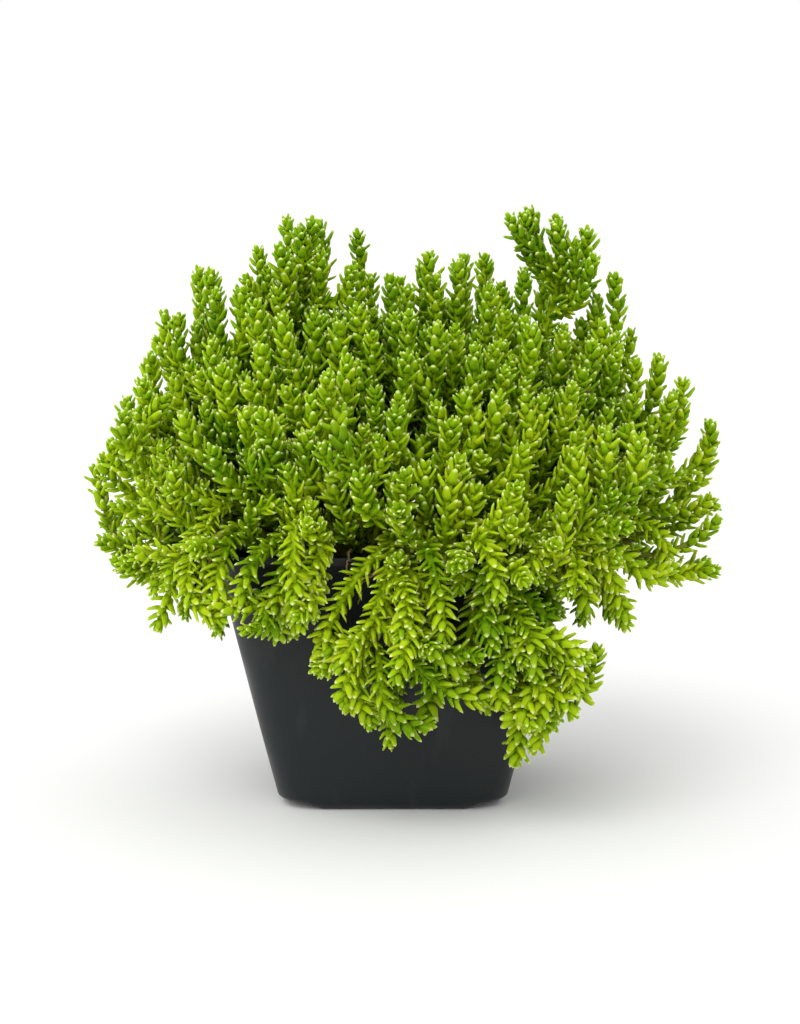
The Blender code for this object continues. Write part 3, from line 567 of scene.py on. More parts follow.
class SEDUM_PG_stage(bpy.types.PropertyGroup):
    """Camera, floor and lights"""

    distance: length_setting("Camera distance", "From the camera to the plant's middle", 0.700)
    elevation: plain_setting(
        "Elevation", "Camera's height above level", math.radians(8.0), -math.pi, subtype="ANGLE"
    )
    lens: plain_setting("Lens", "Focal length for a 36 mm long side, in mm", 79.2, 1.0)
    floor_radius: length_setting("Floor radius", "Radius of the floor", 8.0)
    floor: colour_setting("Floor", "The plain pale floor", (0.86, 0.86, 0.85))
    key_power: plain_setting("Key light", "Strength of the wide soft sun", 1.5)
    fill_power: plain_setting("Side light", "Power of the side light", 2.0, unit="POWER")
    sky: plain_setting("Surroundings", "Brightness of the white room", 1.0)


# Routes of the shoots


def unit(vector):
    return vector / np.linalg.norm(vector)


def lengths(vectors):
    """The length of each row's vector."""
    return np.linalg.norm(vectors, axis=-1)


def units(vectors):
    """Each row's vector at a length of one."""
    return vectors / lengths(vectors)[:, None]


def length_of(route):
    return lengths(np.diff(route, axis=0)).sum()


def up(height):
    return np.array([0.0, 0.0, height])


def squareness(phi, power):
    """How much farther a square with round corners reaches at an angle than at its sides."""
    return (math.cos(phi) ** power + math.sin(phi) ** power) ** (-1.0 / power)


def even_points(points, count=ROUTE_POINTS):
    """Points spaced evenly along a route."""
    along = np.concatenate([[0.0], np.cumsum(lengths(np.diff(points, axis=0)))])
    wanted = np.linspace(0.0, along[-1], count)
    return np.stack([np.interp(wanted, along, points[:, axis]) for axis in range(3)], axis=1)


def drawn_route(points):
    """A smooth route through a few points."""
    points = np.array(points)
    knots = np.vstack([2.0 * points[0] - points[1], points, 2.0 * points[-1] - points[-2]])
    t = np.linspace(0.0, 1.0, CURVE_STEPS, endpoint=False)[:, None]
    pieces = []
    for before, a, b, after in zip(knots, knots[1:], knots[2:], knots[3:]):
        straight = 2.0 * a + (b - before) * t
        bend = (2.0 * before - 5.0 * a + 4.0 * b - after) * t ** 2
        twist = (3.0 * a - before - 3.0 * b + after) * t ** 3
        pieces.append(0.5 * (straight + bend + twist))
    return even_points(np.vstack(pieces + [points[-1:]]))


def lane_angles(count):
    """Evenly spread places on a disc: distance from the middle, 0 to 1, and angle round it."""
    index = np.arange(count)
    angle = index * GOLDEN_ANGLE
    return np.sqrt((index + 0.5) / count), angle - SIDE_CROWDING * np.sin(2.0 * angle)


def soil_spot(rho, phi):
    """Where on the soil's rounded square a stem stands."""
    reach = SOIL_SPREAD * rho * squareness(phi, SOIL_SQUARENESS)
    return np.array([reach * math.cos(phi), reach * math.sin(phi), STEM_BASE])


def mound_spot(rho, phi):
    """Where on the surface of the leafy mound a shoot ends."""
    theta = EDGE_ANGLE * rho ** EDGE_CROWDING
    outward = abs(math.sin(theta)) ** MOUND_BOXY
    depth = MOUND_FRONT if math.sin(phi) < 0.0 else MOUND_BACK
    upward = math.copysign(abs(math.cos(theta)) ** MOUND_DOMED, math.cos(theta))
    return np.array([
        MOUND_SIDE * outward * math.cos(phi),
        depth * outward * math.sin(phi),
        MOUND_WAIST + (MOUND_TOP - MOUND_WAIST) * upward,
    ])


def spaced_feet(spots):
    """Move the crown's stem feet apart, and off the feet of the drawn sprays."""
    drawn = metres([routes[0][0][:2] for routes in DRAWN_SPRAYS.values()])
    for _ in range(FOOT_ROUNDS):
        feet = np.vstack([spots[:, :2], drawn])
        apart = spots[:, None, :2] - feet[None]
        distance = np.maximum(lengths(apart), TINIEST)
        lack = np.where(distance < TINY, 0.0, np.maximum(FOOT_SPACING - distance, 0.0))
        spots[:, :2] += 0.5 * (apart * (lack / distance)[:, :, None]).sum(axis=1)
    return spots


def clear_of_rim(tips):
    """Tips raised where they would lie on the rim or in the stems that trail over it."""
    reach, _ = pot_reach(tips)
    lowest = np.where(reach < RIM_HALF + NEAR_RIM, POT_HEIGHT + RIM_PASS + LEAF_REACH, 0.0)
    over_trailing = (tips[:, 1] < TRAILING_FRONT) & (np.abs(tips[:, 0]) < TRAILING_SIDE)
    lowest = np.where(over_trailing, OVER_TRAILING, lowest)
    tips[:, 2] = np.maximum(tips[:, 2], lowest)
    return tips


def crown_lanes():
    """The crown's shoots: stem spot of its spray, spray number and tip."""
    rng = np.random.default_rng(SEED)
    rho, phi = lane_angles(LANES)
    tips = np.array([mound_spot(r, p) for r, p in zip(rho, phi)])
    tips += rng.uniform(-1.0, 1.0, tips.shape) * np.array(TIP_JITTER)
    tips = clear_of_rim(tips)
    free = np.ones(LANES, dtype=bool)
    for wanted in metres(CROWN_TIPS):
        away = lengths(tips - wanted) + np.where(free, 0.0, 1.0)
        nearest = int(np.argmin(away))
        tips[nearest] = wanted
        free[nearest] = False
    spray_rho, spray_phi = lane_angles(CROWN_SPRAYS)
    spots = spaced_feet(np.array([soil_spot(r, p) for r, p in zip(spray_rho, spray_phi)]))
    lanes = np.array([soil_spot(r, p) for r, p in zip(rho, phi)])
    owner = np.argmin(lengths(lanes[:, None] - spots[None]), axis=1)
    return spots, owner, tips


def crown_route(start, tip):
    """One shoot that spreads low and early, clears the pot's rim and then turns upright."""
    t = np.linspace(0.0, 1.0, 4 * ROUTE_POINTS)[:, None]
    spread = 1.0 - (1.0 - t) ** TURN_UP
    outside = np.clip((pot_reach(tip[None])[0][0] - RIM_HALF) / (MOUND_SIDE - RIM_HALF), 0.0, 1.0)
    route = start + (tip - start) * np.hstack([spread, spread, t ** (1.0 + LATE_RISE * outside)])
    past = np.nonzero(pot_reach(route)[0] > RIM_HALF)[0]
    if len(past) and past[0] > 0:
        over = past[0]
        lack = max(POT_HEIGHT + RIM_PASS - route[over, 2], 0.0)
        arch = np.sin(math.pi * t[:, 0] ** ARCH_EARLY)
        route[:, 2] += lack * arch / max(arch[over], ARCH_LEAST)
    return even_points(route)


def build_routes():
    """Every shoot's route, grouped by spray, before they are bent clear of each other."""
    sprays = {}
    spots, owner, tips = crown_lanes()
    for number, spot in enumerate(spots):
        mine = tips[owner == number]
        if not len(mine):
            continue
        order = np.argsort(lengths(mine - mine.mean(axis=0)))
        main = crown_route(spot, mine[order[0]])
        routes = [main]
        for rank, index in enumerate(order[1:]):
            routes.append(crown_route(main[FIRST_FORK + rank % FORK_PLACES], mine[index]))
        sprays[f"spray_crown_{number + 1:02d}"] = routes
    for name, drawn in DRAWN_SPRAYS.items():
        sprays[name] = [drawn_route(metres(points)) for points in drawn]
        sprays[name][0][0, 2] = STEM_BASE
    return sprays


def pot_reach(points):
    """How far points lie from the pot's axis, measured square to its wall, and that way out."""
    flat = np.abs(points[:, :2])
    height = np.clip(points[:, 2] / POT_HEIGHT, 0.0, 1.0)
    core = (BASE_HALF + (RIM_HALF - BASE_HALF) * height - RIM_CORNER)[:, None]
    beyond = np.maximum(flat - core, 0.0)
    spill = lengths(beyond)
    longer = (flat >= flat[:, ::-1]).astype(float)
    way = np.where(spill[:, None] > 0.0, beyond / np.maximum(spill, TINIEST)[:, None], longer)
    reach = np.where(spill > 0.0, core[:, 0] + spill, flat.max(axis=1))
    return reach, way * np.sign(points[:, :2])


def wall_clearance(points):
    """Distance of points from the outer face of the pot's wall, and the way out from it."""
    reach, outward = pot_reach(points)
    run = np.array([RIM_HALF - BASE_HALF, POT_HEIGHT])
    profile = np.stack([reach - BASE_HALF, points[:, 2]], axis=1)
    along = np.clip(profile @ run / (run @ run), 0.0, 1.0)
    away = profile - along[:, None] * run
    distance = lengths(away)
    way = np.hstack([outward * away[:, :1], away[:, 1:]])
    return distance, way / np.maximum(distance, TINY)[:, None]


def soil_clearance(points):
    """Height of points over the soil, for those inside the pot."""
    inside = pot_reach(points)[0] < RIM_HALF
    return np.where(inside, points[:, 2] - SOIL_TOP - SOIL_UNEVEN, 1.0)


def thickness(route, leafy):
    """Room that a route needs round it at each of its points."""
    along = np.linspace(0.0, 1.0, len(route))
    return np.where(along > 1.0 - leafy, LEAF_REACH + GAP, STEM_RADIUS + 2.0 * GAP)


class Shoot:
    """One leafy shoot: its route, the shoot it leaves, and how far it is leafy."""

    def __init__(self, spray, route, parent, rng):
        self.spray = spray
        self.route = route
        self.first = route.copy()
        self.parent = parent
        self.fixed = False
        self.seed = int(rng.integers(1 << 30))
        length = length_of(route)
        bare = STEM_BARE if parent is None else FORK_BARE
        wanted = LEAFY_LENGTH * rng.uniform(*LEAFY_SPREAD)
        self.give = 1.0
        if spray in DRAWN_SPRAYS:
            wanted = length
            self.give = DRAWN_GIVE
        self.leafy = min(wanted, length - bare) / length
        self.fork = 0.0
        if parent is not None:
            gaps = lengths(parent.dense() - route[0])
            self.fork = float(np.argmin(gaps)) / (len(gaps) - 1)
            if spray not in DRAWN_SPRAYS:
                parent.leafy = min(parent.leafy, 1.0 - self.fork - PAST_FORK)
        self.room = thickness(route, self.leafy)

    def dense(self):
        """The route at finely spaced points."""
        return even_points(self.route, DENSE_POINTS)

    def follow_parent(self):
        """Bring this shoot's first point back to the stem that it leaves."""
        if self.parent is not None:
            spine = self.parent.dense()
            self.route[0] = spine[int(round(self.fork * (len(spine) - 1)))]

    def hold(self):
        """Keep this shoot where it is while others are bent clear of it."""
        self.first = self.route.copy()
        self.fixed = True


def close_pairs(points, owner, spray, place):
    """Pairs of route points of different shoots that may come too near each other."""
    square = (points ** 2).sum(axis=1)
    apart = square[:, None] + square[None, :] - 2.0 * points @ points.T
    near = apart < (2.0 * LEAF_REACH + PAIR_MARGIN) ** 2
    near &= owner[:, None] != owner[None, :]
    young = (place[:, None] < YOUNG_POINTS) | (place[None, :] < YOUNG_POINTS)
    near &= ~((spray[:, None] == spray[None, :]) & young)
    return np.nonzero(near)


def bend_clear(shoots, rounds):
    """Push shoots apart where they would cross, and smooth each push along its shoot."""
    names = {name: number for number, name in enumerate(dict.fromkeys(s.spray for s in shoots))}
    owner = np.repeat(np.arange(len(shoots)), ROUTE_POINTS)
    spray, main, fixed, give = (
        np.repeat(values, ROUTE_POINTS)
        for values in zip(*((names[s.spray], s.parent is None, s.fixed, s.give) for s in shoots))
    )
    place = np.tile(np.arange(ROUTE_POINTS), len(shoots))
    room = np.concatenate([s.room for s in shoots])
    held = place < np.where(main, FOOT_POINTS, 1)
    held |= fixed
    for turn in range(rounds):
        points = np.concatenate([s.route for s in shoots])
        if turn % PAIR_ROUNDS == 0:
            rows, columns = close_pairs(points, owner, spray, place)
            kin = np.where(spray[rows] == spray[columns], KIN_ROOM, 1.0)
            need = kin * (room[rows] + room[columns])
        apart = points[rows] - points[columns]
        distance = np.maximum(lengths(apart), TINY)
        lack = np.maximum(need - distance, 0.0) / distance
        shift = np.zeros_like(points)
        np.add.at(shift, rows, PUSH * lack[:, None] * apart)
        shift *= give[:, None]
        from_wall, out = wall_clearance(points)
        wall_lack = np.maximum(room + POT_WALL + GAP - from_wall, 0.0)
        shift += wall_lack[:, None] * out
        soil_lack = np.maximum(room + GAP - soil_clearance(points), 0.0)
        shift[:, 2] += np.where(place >= FOOT_POINTS, soil_lack, 0.0)
        shift[held] = 0.0
        moves = (points + shift).reshape(len(shoots), ROUTE_POINTS, 3)
        for shoot, moved in zip(shoots, moves):
            if shoot.fixed:
                continue
            drift = moved - shoot.first
            beside = SMOOTHING * drift[:-2] + (1.0 - 2.0 * SMOOTHING) * drift[1:-1]
            drift[1:-1] = beside + SMOOTHING * drift[2:]
            shoot.route = shoot.first + drift
            if shoot.parent is None:
                shoot.route[:FOOT_POINTS] = shoot.first[:FOOT_POINTS]
            shoot.follow_parent()


def modelled_shoots():
    """The shoots that the solids have, bent clear of each other, of the pot and of the soil."""
    rng = np.random.default_rng(SEED)
    shoots = []
    for name, routes in build_routes().items():
        main = None
        for route in routes:
            shoot = Shoot(name, route, main, rng)
            main = main or shoot
            shoots.append(shoot)
    bend_clear(shoots, BEND_ROUNDS)
    for shoot in shoots:
        shoot.hold()
    return shoots


def frames(spine):
    """Two directions square to a route at each of its points, turning as little as they can."""
    ahead = units(np.gradient(spine, axis=0))
    side = unit(np.cross(ahead[0], ANY_SIDE))
    sides = []
    for direction in ahead:
        side = unit(side - direction * (side @ direction))
        sides.append(side)
    sides = np.array(sides)
    return ahead, sides, np.cross(ahead, sides)


def nearest_stem(stems, place):
    """The main stem whose foot is nearest to a place."""
    away = [np.linalg.norm(stem.route[0][:2] - place[:2]) for stem in stems]
    return stems[int(np.argmin(away))]


def filler(route, parent, rng):
    """A shoot that only the fine model has: slimmer, and free to squeeze in."""
    shoot = Shoot(parent.spray, route, parent, rng)
    shoot.leafy = 1.0
    shoot.give = 1.0
    shoot.room = FILL_ROOM * thickness(route, shoot.leafy)
    return shoot


def looseness(spine):
    """1 for a shoot that ends below the rim and hangs, and 0 for the others."""
    return 1.0 if spine[-1][2] < POT_HEIGHT else 0.0


def is_clear(shoot):
    """Whether a shoot ends within the limits and keeps out of every clearing."""
    spine = shoot.dense()
    x, y, z = spine[-1]
    over_corner = z < POT_HEIGHT and abs(x) > LOW_LIMIT and y < BARE_CORNER[1]
    if over_corner or z < FOOT_LIMIT or (np.abs(spine[-1]) > SIDE_LIMITS).any():
        return False
    boxes = metres(CLEARINGS)
    return not any(((spine > low) & (spine < high)).all(axis=1).any() for low, high in boxes)


def inner_shoots(stems, count, rng):
    """Shoots that end a little below the mound's surface, between the modelled ones."""
    rho, phi = lane_angles(count)
    heart = np.array(MOUND_HEART)
    found = []
    for number, (r, p) in enumerate(zip(rho, phi + 0.5 * GOLDEN_ANGLE)):
        tip = heart + (mound_spot(r, p) - heart) * rng.uniform(*UNDER_REACH)
        tip = clear_of_rim(tip[None])[0]
        tip[2] = max(tip[2], rng.uniform(*UPRIGHT_TIP))
        parent = nearest_stem(stems, soil_spot(r, p))
        start = parent.route[FIRST_FORK + number % FORK_PLACES]
        found.append(filler(crown_route(start, tip), parent, rng))
    return found


def rim_shoots(stems, count, rng):
    """Low shoots that lean over the rim, all the way round but for the bare corner."""
    found = []
    for number in range(count):
        phi = math.tau * (number + rng.uniform(*SLOT_PART)) / count
        outward = np.array([math.cos(phi), math.sin(phi), 0.0]) * squareness(phi, RIM_SQUARENESS)
        height = rng.uniform(*APRON_HEIGHT)
        out = rng.uniform(*APRON_OUT)
        if outward[0] * RIM_HALF < BARE_CORNER[0] and outward[1] * RIM_HALF < BARE_CORNER[1]:
            continue
        found.append(over_the_rim(stems, outward * RIM_HALF, outward, out, height, rng))
    return found


def over_the_rim(stems, crossing, outward, out, height, rng):
    """A low shoot that crosses the rim at a place and leans or hangs outside it."""
    parent = nearest_stem(stems, crossing * SOIL_SPREAD / RIM_HALF)
    points = [
        parent.route[1],
        crossing - INSIDE_RIM * outward + up(POT_HEIGHT + OVER_RIM_INSIDE),
        crossing + OUTSIDE_SHARE * out * outward + up(POT_HEIGHT + OVER_RIM_OUTSIDE),
        crossing + out * outward + up(height),
    ]
    return filler(drawn_route(points), parent, rng)


def front_shoots(stems, count, rng):
    """Shoots that hang a little way over the front of the rim and hide most of it."""
    found = []
    for number in range(count):
        low, high = FRONT_SPAN
        x = low + (high - low) * (number + rng.uniform(*SLOT_PART)) / count
        crossing = np.array([x, -RIM_HALF, 0.0])
        outward = unit(np.array([rng.uniform(-FRONT_TURN, FRONT_TURN), -1.0, 0.0]))
        height = rng.uniform(*FRONT_HEIGHT)
        found.append(over_the_rim(stems, crossing, outward, rng.uniform(*FRONT_OUT), height, rng))
    return found


def side_shoots(shoots, rng):
    """Short side shoots on every leafy stem."""
    found = []
    for shoot in shoots:
        spine = shoot.dense()
        ahead, side, across = frames(spine)
        trailing = "trailing" in shoot.spray and spine[-1][2] < POT_HEIGHT
        growth = TRAILING_GROWTH if trailing else 1.0
        length_each = TRAILING_LENGTH_EACH if trailing else SIDE_LENGTH_EACH
        for _ in range(rng.poisson(length_of(spine) / length_each)):
            index = int(rng.uniform(*SIDE_PLACES) * (DENSE_POINTS - 1))
            turn = rng.uniform(0.0, math.tau)
            outward = side[index] * math.cos(turn) + across[index] * math.sin(turn)
            reach = growth * rng.uniform(*SIDE_REACH)
            start = spine[index]
            along, away = SIDE_MIDDLE
            middle = start + reach * (along * ahead[index] + away * outward)
            along, away = SIDE_TIP
            tip = start + reach * (along * ahead[index] + away * outward + up(SIDE_RISE))
            found.append(filler(drawn_route([start, middle, tip]), shoot, rng))
    return found


def added_shoots(stems, rng):
    """The listed small shoots, and the upright ones whose tips are listed."""
    mains = {stem.spray: stem for stem in stems}
    found = []
    for spray, routes in ADDED_SHOOTS:
        found += [filler(drawn_route(metres(points)), mains[spray], rng) for points in routes]
    for tip in metres(FILL_TIPS):
        parent = nearest_stem(stems, tip * SOIL_SPREAD / MOUND_SIDE)
        found.append(filler(crown_route(parent.route[FIRST_FORK], tip), parent, rng))
    return found


def all_shoots(settings):
    """The modelled shoots and all that grows between them."""
    shoots = modelled_shoots()
    rng = np.random.default_rng(FILL_SEED)
    stems = [shoot for shoot in shoots if shoot.parent is None]
    extra = inner_shoots(stems, settings.under_shoots, rng)
    extra += rim_shoots(stems, settings.apron_shoots, rng)
    extra += front_shoots(stems, settings.front_shoots, rng)
    bend_clear(shoots + extra, FILL_BEND_ROUNDS)
    extra = [shoot for shoot in extra if is_clear(shoot)]
    extra += added_shoots(stems, rng)
    sides = side_shoots(shoots + extra, rng)
    return shoots + extra + [shoot for shoot in sides if is_clear(shoot)]


# Leaves and stems


def leaf_template(rings, sides):
    """One leaf of unit size: its points, its triangles and how far along it each point is."""
    points = [(0.0, 0.0, 0.0)]
    along = [0.0]
    for place, width in rings:
        for number in range(sides):
            angle = math.tau * (number + 0.5) / sides
            plump = UNDER_PLUMP if math.sin(angle) < 0.0 else UPPER_PLUMP
            thick = plump * width ** PLUMP_POWER * math.sin(angle)
            points.append((place, 0.5 * width * math.cos(angle), thick))
            along.append(place)
    points.append((1.0, 0.0, 0.0))
    along.append(1.0)
    return np.array(points), ring_triangles(len(rings), sides), np.array(along)


def ring_triangles(rings, sides):
    """Triangles of a body that runs from one point through rings of points to another."""
    last = rings * sides + 1
    triangles = []
    for number in range(sides):
        after = (number + 1) % sides
        triangles.append((0, 1 + after, 1 + number))
        triangles.append((last, last - sides + number, last - sides + after))
        for ring in range(rings - 1):
            low = 1 + ring * sides
            high = low + sides
            triangles.append((low + number, low + after, high + after))
            triangles.append((low + number, high + after, high + number))
    return np.array(triangles)


# A finer leaf near the tips and a plainer one below: rings of place and width, then sides
NEAR_LEAF = leaf_template([(0.04, 0.94), (0.38, 1.00), (0.86, 0.61)], 5)
FAR_LEAF = leaf_template([(0.12, 1.00), (0.78, 0.60)], 4)


class Growth:
    """Points, triangles and per-point values of one piece as it is put together."""

    def __init__(self):
        self.points = []
        self.triangles = []
        self.values = []
        self.count = 0

    def add(self, points, triangles, values):
        """Values are four columns: along the leaf, nearness to the shoot's tip, tint with its painted
        shade, woodiness.
        """
        self.points.append(points)
        self.triangles.append(triangles + self.count)
        self.values.append(values)
        self.count += len(points)

    def mesh(self, name):
        """All that has grown, as one mesh."""
        parts = (np.vstack(each) for each in (self.points, self.triangles, self.values))
        return mesh_of(name, *parts)


def mesh_of(name, points, triangles, values):
    """A smooth mesh from arrays of points, triangles and named per-point values."""
    mesh = bpy.data.meshes.new(name)
    mesh.vertices.add(len(points))
    mesh.vertices.foreach_set("co", points.astype(np.float32).ravel())
    mesh.loops.add(3 * len(triangles))
    mesh.loops.foreach_set("vertex_index", triangles.astype(np.int32).ravel())
    mesh.polygons.add(len(triangles))
    mesh.polygons.foreach_set("loop_start", np.arange(0, 3 * len(triangles), 3, dtype=np.int32))
    mesh.update(calc_edges=True)
    mesh.shade_smooth()
    for column, label in enumerate(("along", "ripe", "tint", "woody")):
        attribute = mesh.attributes.new(label, "FLOAT", "POINT")
        attribute.data.foreach_set("value", values[:, column].astype(np.float32))
    mesh.validate()
    return mesh


def leaf_places(reach, pitch, thinning):
    """Distances of a shoot's leaves below its tip: crowded in the rosette, thinned far down."""
    places = []
    below = 0.0
    while below < reach:
        places.append(below)
        grown = min(below / ROSETTE_DEPTH, 1.0)
        step = TIP_PITCH + (pitch - TIP_PITCH) * grown
        sparse = min(max(below - SPARSE_FROM, 0.0) / SPARSE_FROM, 1.0)
        below += step + thinning * sparse * (SPARSE_PITCH - pitch)
    return np.array(places)


def grow_leaves(growth, shoot, settings):
    """Set the leaves of one shoot in a spiral round its stem."""
    rng = np.random.default_rng(shoot.seed)
    spine = shoot.dense()
    ahead, side, across = frames(spine)
    length = length_of(spine)
    bare = STEM_BARE if shoot.parent is None else 0.5 * STEM_RADIUS
    loose = looseness(spine)
    pitch = settings.leaf_pitch * (1.0 + loose * (LOOSE_PITCH - 1.0))
    leafy = min(LEAF_SPAN * (1.0 + LOOSE_SPAN * loose), length - bare)
    below = leaf_places(leafy, pitch, 1.0 - loose)
    count = len(below)
    last = DENSE_POINTS - 1
    at = (1.0 - below / length) * last
    low = np.minimum(at.astype(int), last - 1)
    part = (at - low)[:, None]
    middle = spine[low] * (1.0 - part) + spine[low + 1] * part
    first_turn = rng.uniform(0.0, math.tau)
    turn = first_turn + GOLDEN_ANGLE * np.arange(count) + rng.normal(0.0, TURN_SCATTER, count)
    radial = side[low] * np.cos(turn)[:, None] + across[low] * np.sin(turn)[:, None]
    grown = np.clip(below / ROSETTE_DEPTH, 0.0, 1.0)
    aged = np.clip((below - ROSETTE_DEPTH) / LEAFY_LENGTH, 0.0, 1.0)
    lean = TIP_LEAN + (GROWN_LEAN + LOOSE_LEAN * loose) * grown ** LEAN_POWER + AGED_LEAN * aged
    lean = np.radians(lean + rng.normal(0.0, LEAN_SCATTER, count))
    vigour = rng.uniform(*SHOOT_SIZES) * min(1.0, SHORTEST_SHARE + length / FULL_SIZE_LENGTH)
    size = (TIP_SIZE + (1.0 - TIP_SIZE) * grown ** SIZE_POWER) * (1.0 - AGED_LOSS * aged)
    size = size * vigour * rng.uniform(*LEAF_SIZES, count)
    direction = ahead[low] * np.cos(lean)[:, None] + radial * np.sin(lean)[:, None]
    direction[:, 2] += LIGHT_PULL * grown
    direction = units(direction)
    flat = units(np.cross(direction, np.cross(ahead[low], direction)) + TINY)
    broad = np.cross(flat, direction)
    base = middle + radial * (0.5 * settings.stem_radius * grown)[:, None]
    curl = rng.uniform(*LEAF_CURL, count)
    height = np.clip((middle[:, 2] - TINT_HEIGHT) / TINT_HEIGHT, 0.0, 1.0)
    # Painted shade: the deeper inside the mound a leaf lies, the higher its tint and the darker its
    # colour
    inside = SHADE_FROM - lengths((middle - MOUND_HEART) / MOUND_SHAPE)
    shaded = np.clip(inside / SHADE_DEPTH, 0.0, 1.0) * (1.0 - loose)
    usual_tint = TINT_LOW + TINT_RISE * height + TINT_SHADE * shaded
    tint = np.clip(rng.normal(usual_tint, TINT_SCATTER), 0.0, 1.0)
    dry = (rng.uniform(0.0, 1.0, count) < DRY_SHARE) & (below > DRY_FROM)
    ripe = 1.0 - np.clip(below / RIPE_DEPTH, 0.0, 1.0)
    near = below < NEAR_DEPTH
    for (shape, triangles, along), chosen in ((NEAR_LEAF, near), (FAR_LEAF, ~near)):
        number = chosen.sum()
        if not number:
            continue
        long = settings.leaf_length * size[chosen] * (1.0 + loose * (LOOSE_LEAF - 1.0))
        narrowed = size[chosen] ** WIDTH_POWER
        wide = settings.leaf_width * narrowed * (1.0 + loose * (LOOSE_SLIM - 1.0))
        plump = settings.leaf_thickness * narrowed
        u, v, w = shape.T
        rise = plump[:, None] * w + (long * curl[chosen])[:, None] * u ** 2
        points = base[chosen][:, None] + direction[chosen][:, None] * (long[:, None] * u)[:, :, None]
        points += broad[chosen][:, None] * (wide[:, None] * v)[:, :, None]
        points += flat[chosen][:, None] * rise[:, :, None]
        offsets = (np.arange(number) * len(shape))[:, None, None]
        each = [np.repeat(value[chosen].astype(float), len(shape)) for value in (ripe, tint, dry)]
        values = np.stack([np.tile(along, number), *each], axis=1)
        growth.add(points.reshape(-1, 3), (triangles[None] + offsets).reshape(-1, 3), values)


def grow_stem(growth, shoot, settings):
    """A round stem along a shoot's route: woody near the soil, and green above and where it hangs."""
    spine = shoot.dense()
    foot, wood = (STEM_FOOT, MAIN_WOOD) if shoot.parent is None else (1.0, FORK_WOOD)
    if shoot.parent is None:
        spine = np.vstack([spine[0] - up(HOLE_DEPTH), spine])
    points = even_points(spine, STEM_RINGS)
    thick = settings.stem_radius * np.linspace(foot, STEM_TIP, STEM_RINGS)
    above = np.clip((points[:, 2] - STEM_BASE) / WOODY_HEIGHT, 0.0, 1.0)
    woody = wood * (1.0 - above) * (1.0 - looseness(spine))
    grow_tube(growth, points, thick, STEM_SIDES, woody)


def grow_tube(growth, points, radii, sides, woody):
    """A round body along a row of points."""
    ahead, side, across = frames(points)
    angles = np.arange(sides) * math.tau / sides
    around = side[:, None] * np.cos(angles)[:, None] + across[:, None] * np.sin(angles)[:, None]
    rings = points[:, None] + np.array(radii)[:, None, None] * around
    body = np.vstack([points[:1], rings.reshape(-1, 3), points[-1:]])
    values = np.zeros((len(body), 4))
    values[:, 2] = STEM_TINT
    values[1:-1, 3] = np.repeat(woody, sides)
    values[[0, -1], 3] = woody[0], woody[-1]
    growth.add(body, ring_triangles(len(points), sides), values)


# Materials


def new_material(name):
    """A node material, its tree and its Principled shader."""
    material = bpy.data.materials.new(name)
    material.use_nodes = True
    return material, material.node_tree, material.node_tree.nodes["Principled BSDF"]


def feed(tree, socket, value):
    """Link an output to a socket, or set the socket's own value."""
    if isinstance(value, bpy.types.NodeSocket):
        tree.links.new(value, socket)
    else:
        socket.default_value = value


def feed_all(tree, node, **inputs):
    """Feed sockets by their names, with underscores in place of spaces."""
    for key, value in inputs.items():
        feed(tree, node.inputs[key.replace("_", " ")], value)


def add_node(tree, kind, settings=None, **inputs):
    """A node with its settings and its sockets' values or links."""
    node = tree.nodes.new(kind)
    for key, value in (settings or {}).items():
        setattr(node, key, value)
    feed_all(tree, node, **inputs)
    return node


def blended(tree, factor, first, second):
    """One colour mixed into another by a factor."""
    node = add_node(tree, "ShaderNodeMix", {"data_type": "RGBA"})
    feed(tree, node.inputs[0], factor)
    for socket, colour in ((node.inputs[6], first), (node.inputs[7], second)):
        feed(tree, socket, colour if isinstance(colour, bpy.types.NodeSocket) else (*colour, 1.0))
    return node.outputs[2]


def eased(tree, value, low, high, bottom=0.0, top=1.0):
    """A value taken from one range to another, smoothly."""
    node = add_node(
        tree, "ShaderNodeMapRange", {"interpolation_type": "SMOOTHSTEP"},
        Value=value, From_Min=low, From_Max=high, To_Min=bottom, To_Max=top,
    )
    return node.outputs["Result"]


def attribute(tree, name):
    return add_node(tree, "ShaderNodeAttribute", {"attribute_name": name}).outputs["Fac"]


def noise(tree, scale, detail=3.0, stretch=(1.0, 1.0, 1.0)):
    """A noise in the object's own space, in cycles a metre."""
    place = add_node(tree, "ShaderNodeTexCoord").outputs["Object"]
    place = add_node(tree, "ShaderNodeMapping", Vector=place, Scale=stretch).outputs["Vector"]
    return add_node(tree, "ShaderNodeTexNoise", Vector=place, Scale=scale, Detail=detail).outputs["Fac"]


def bumps(tree, height, distance, strength=1.0):
    node = add_node(tree, "ShaderNodeBump", Height=height, Distance=distance, Strength=strength)
    return node.outputs["Normal"]


def leaf_material(settings):
    """Fleshy lime leaves with pale tips partly painted as highlights, greener patches, painted shade at
    the leaf bases and on inner leaves, and woody old stems.
    """
    material, tree, shader = new_material("Sedum leaf")
    masks = {name: attribute(tree, name) for name in ("along", "ripe", "tint", "woody")}
    masks["patches"] = noise(tree, scale=34.0)
    colours = {
        "young": settings.young,
        "deep": settings.deep,
        "pale": settings.pale,
        "shaded": settings.shaded,
    }
    body = settings.full
    for name, low, high, before, after, colour in LEAF_LAYERS:
        cover = eased(tree, masks[name], low, high, before, after)
        body = blended(tree, cover, body, colours[colour])
    feed_all(
        tree, shader, Base_Color=blended(tree, masks["woody"], body, settings.wood),
        Roughness=0.56, Specular_IOR_Level=0.06, Subsurface_Weight=0.45,
        Subsurface_Radius=(0.7, 1.0, 0.15), Subsurface_Scale=0.0028,
        Normal=bumps(tree, noise(tree, scale=1500.0, detail=2.0), distance=0.00006),
    )
    return material


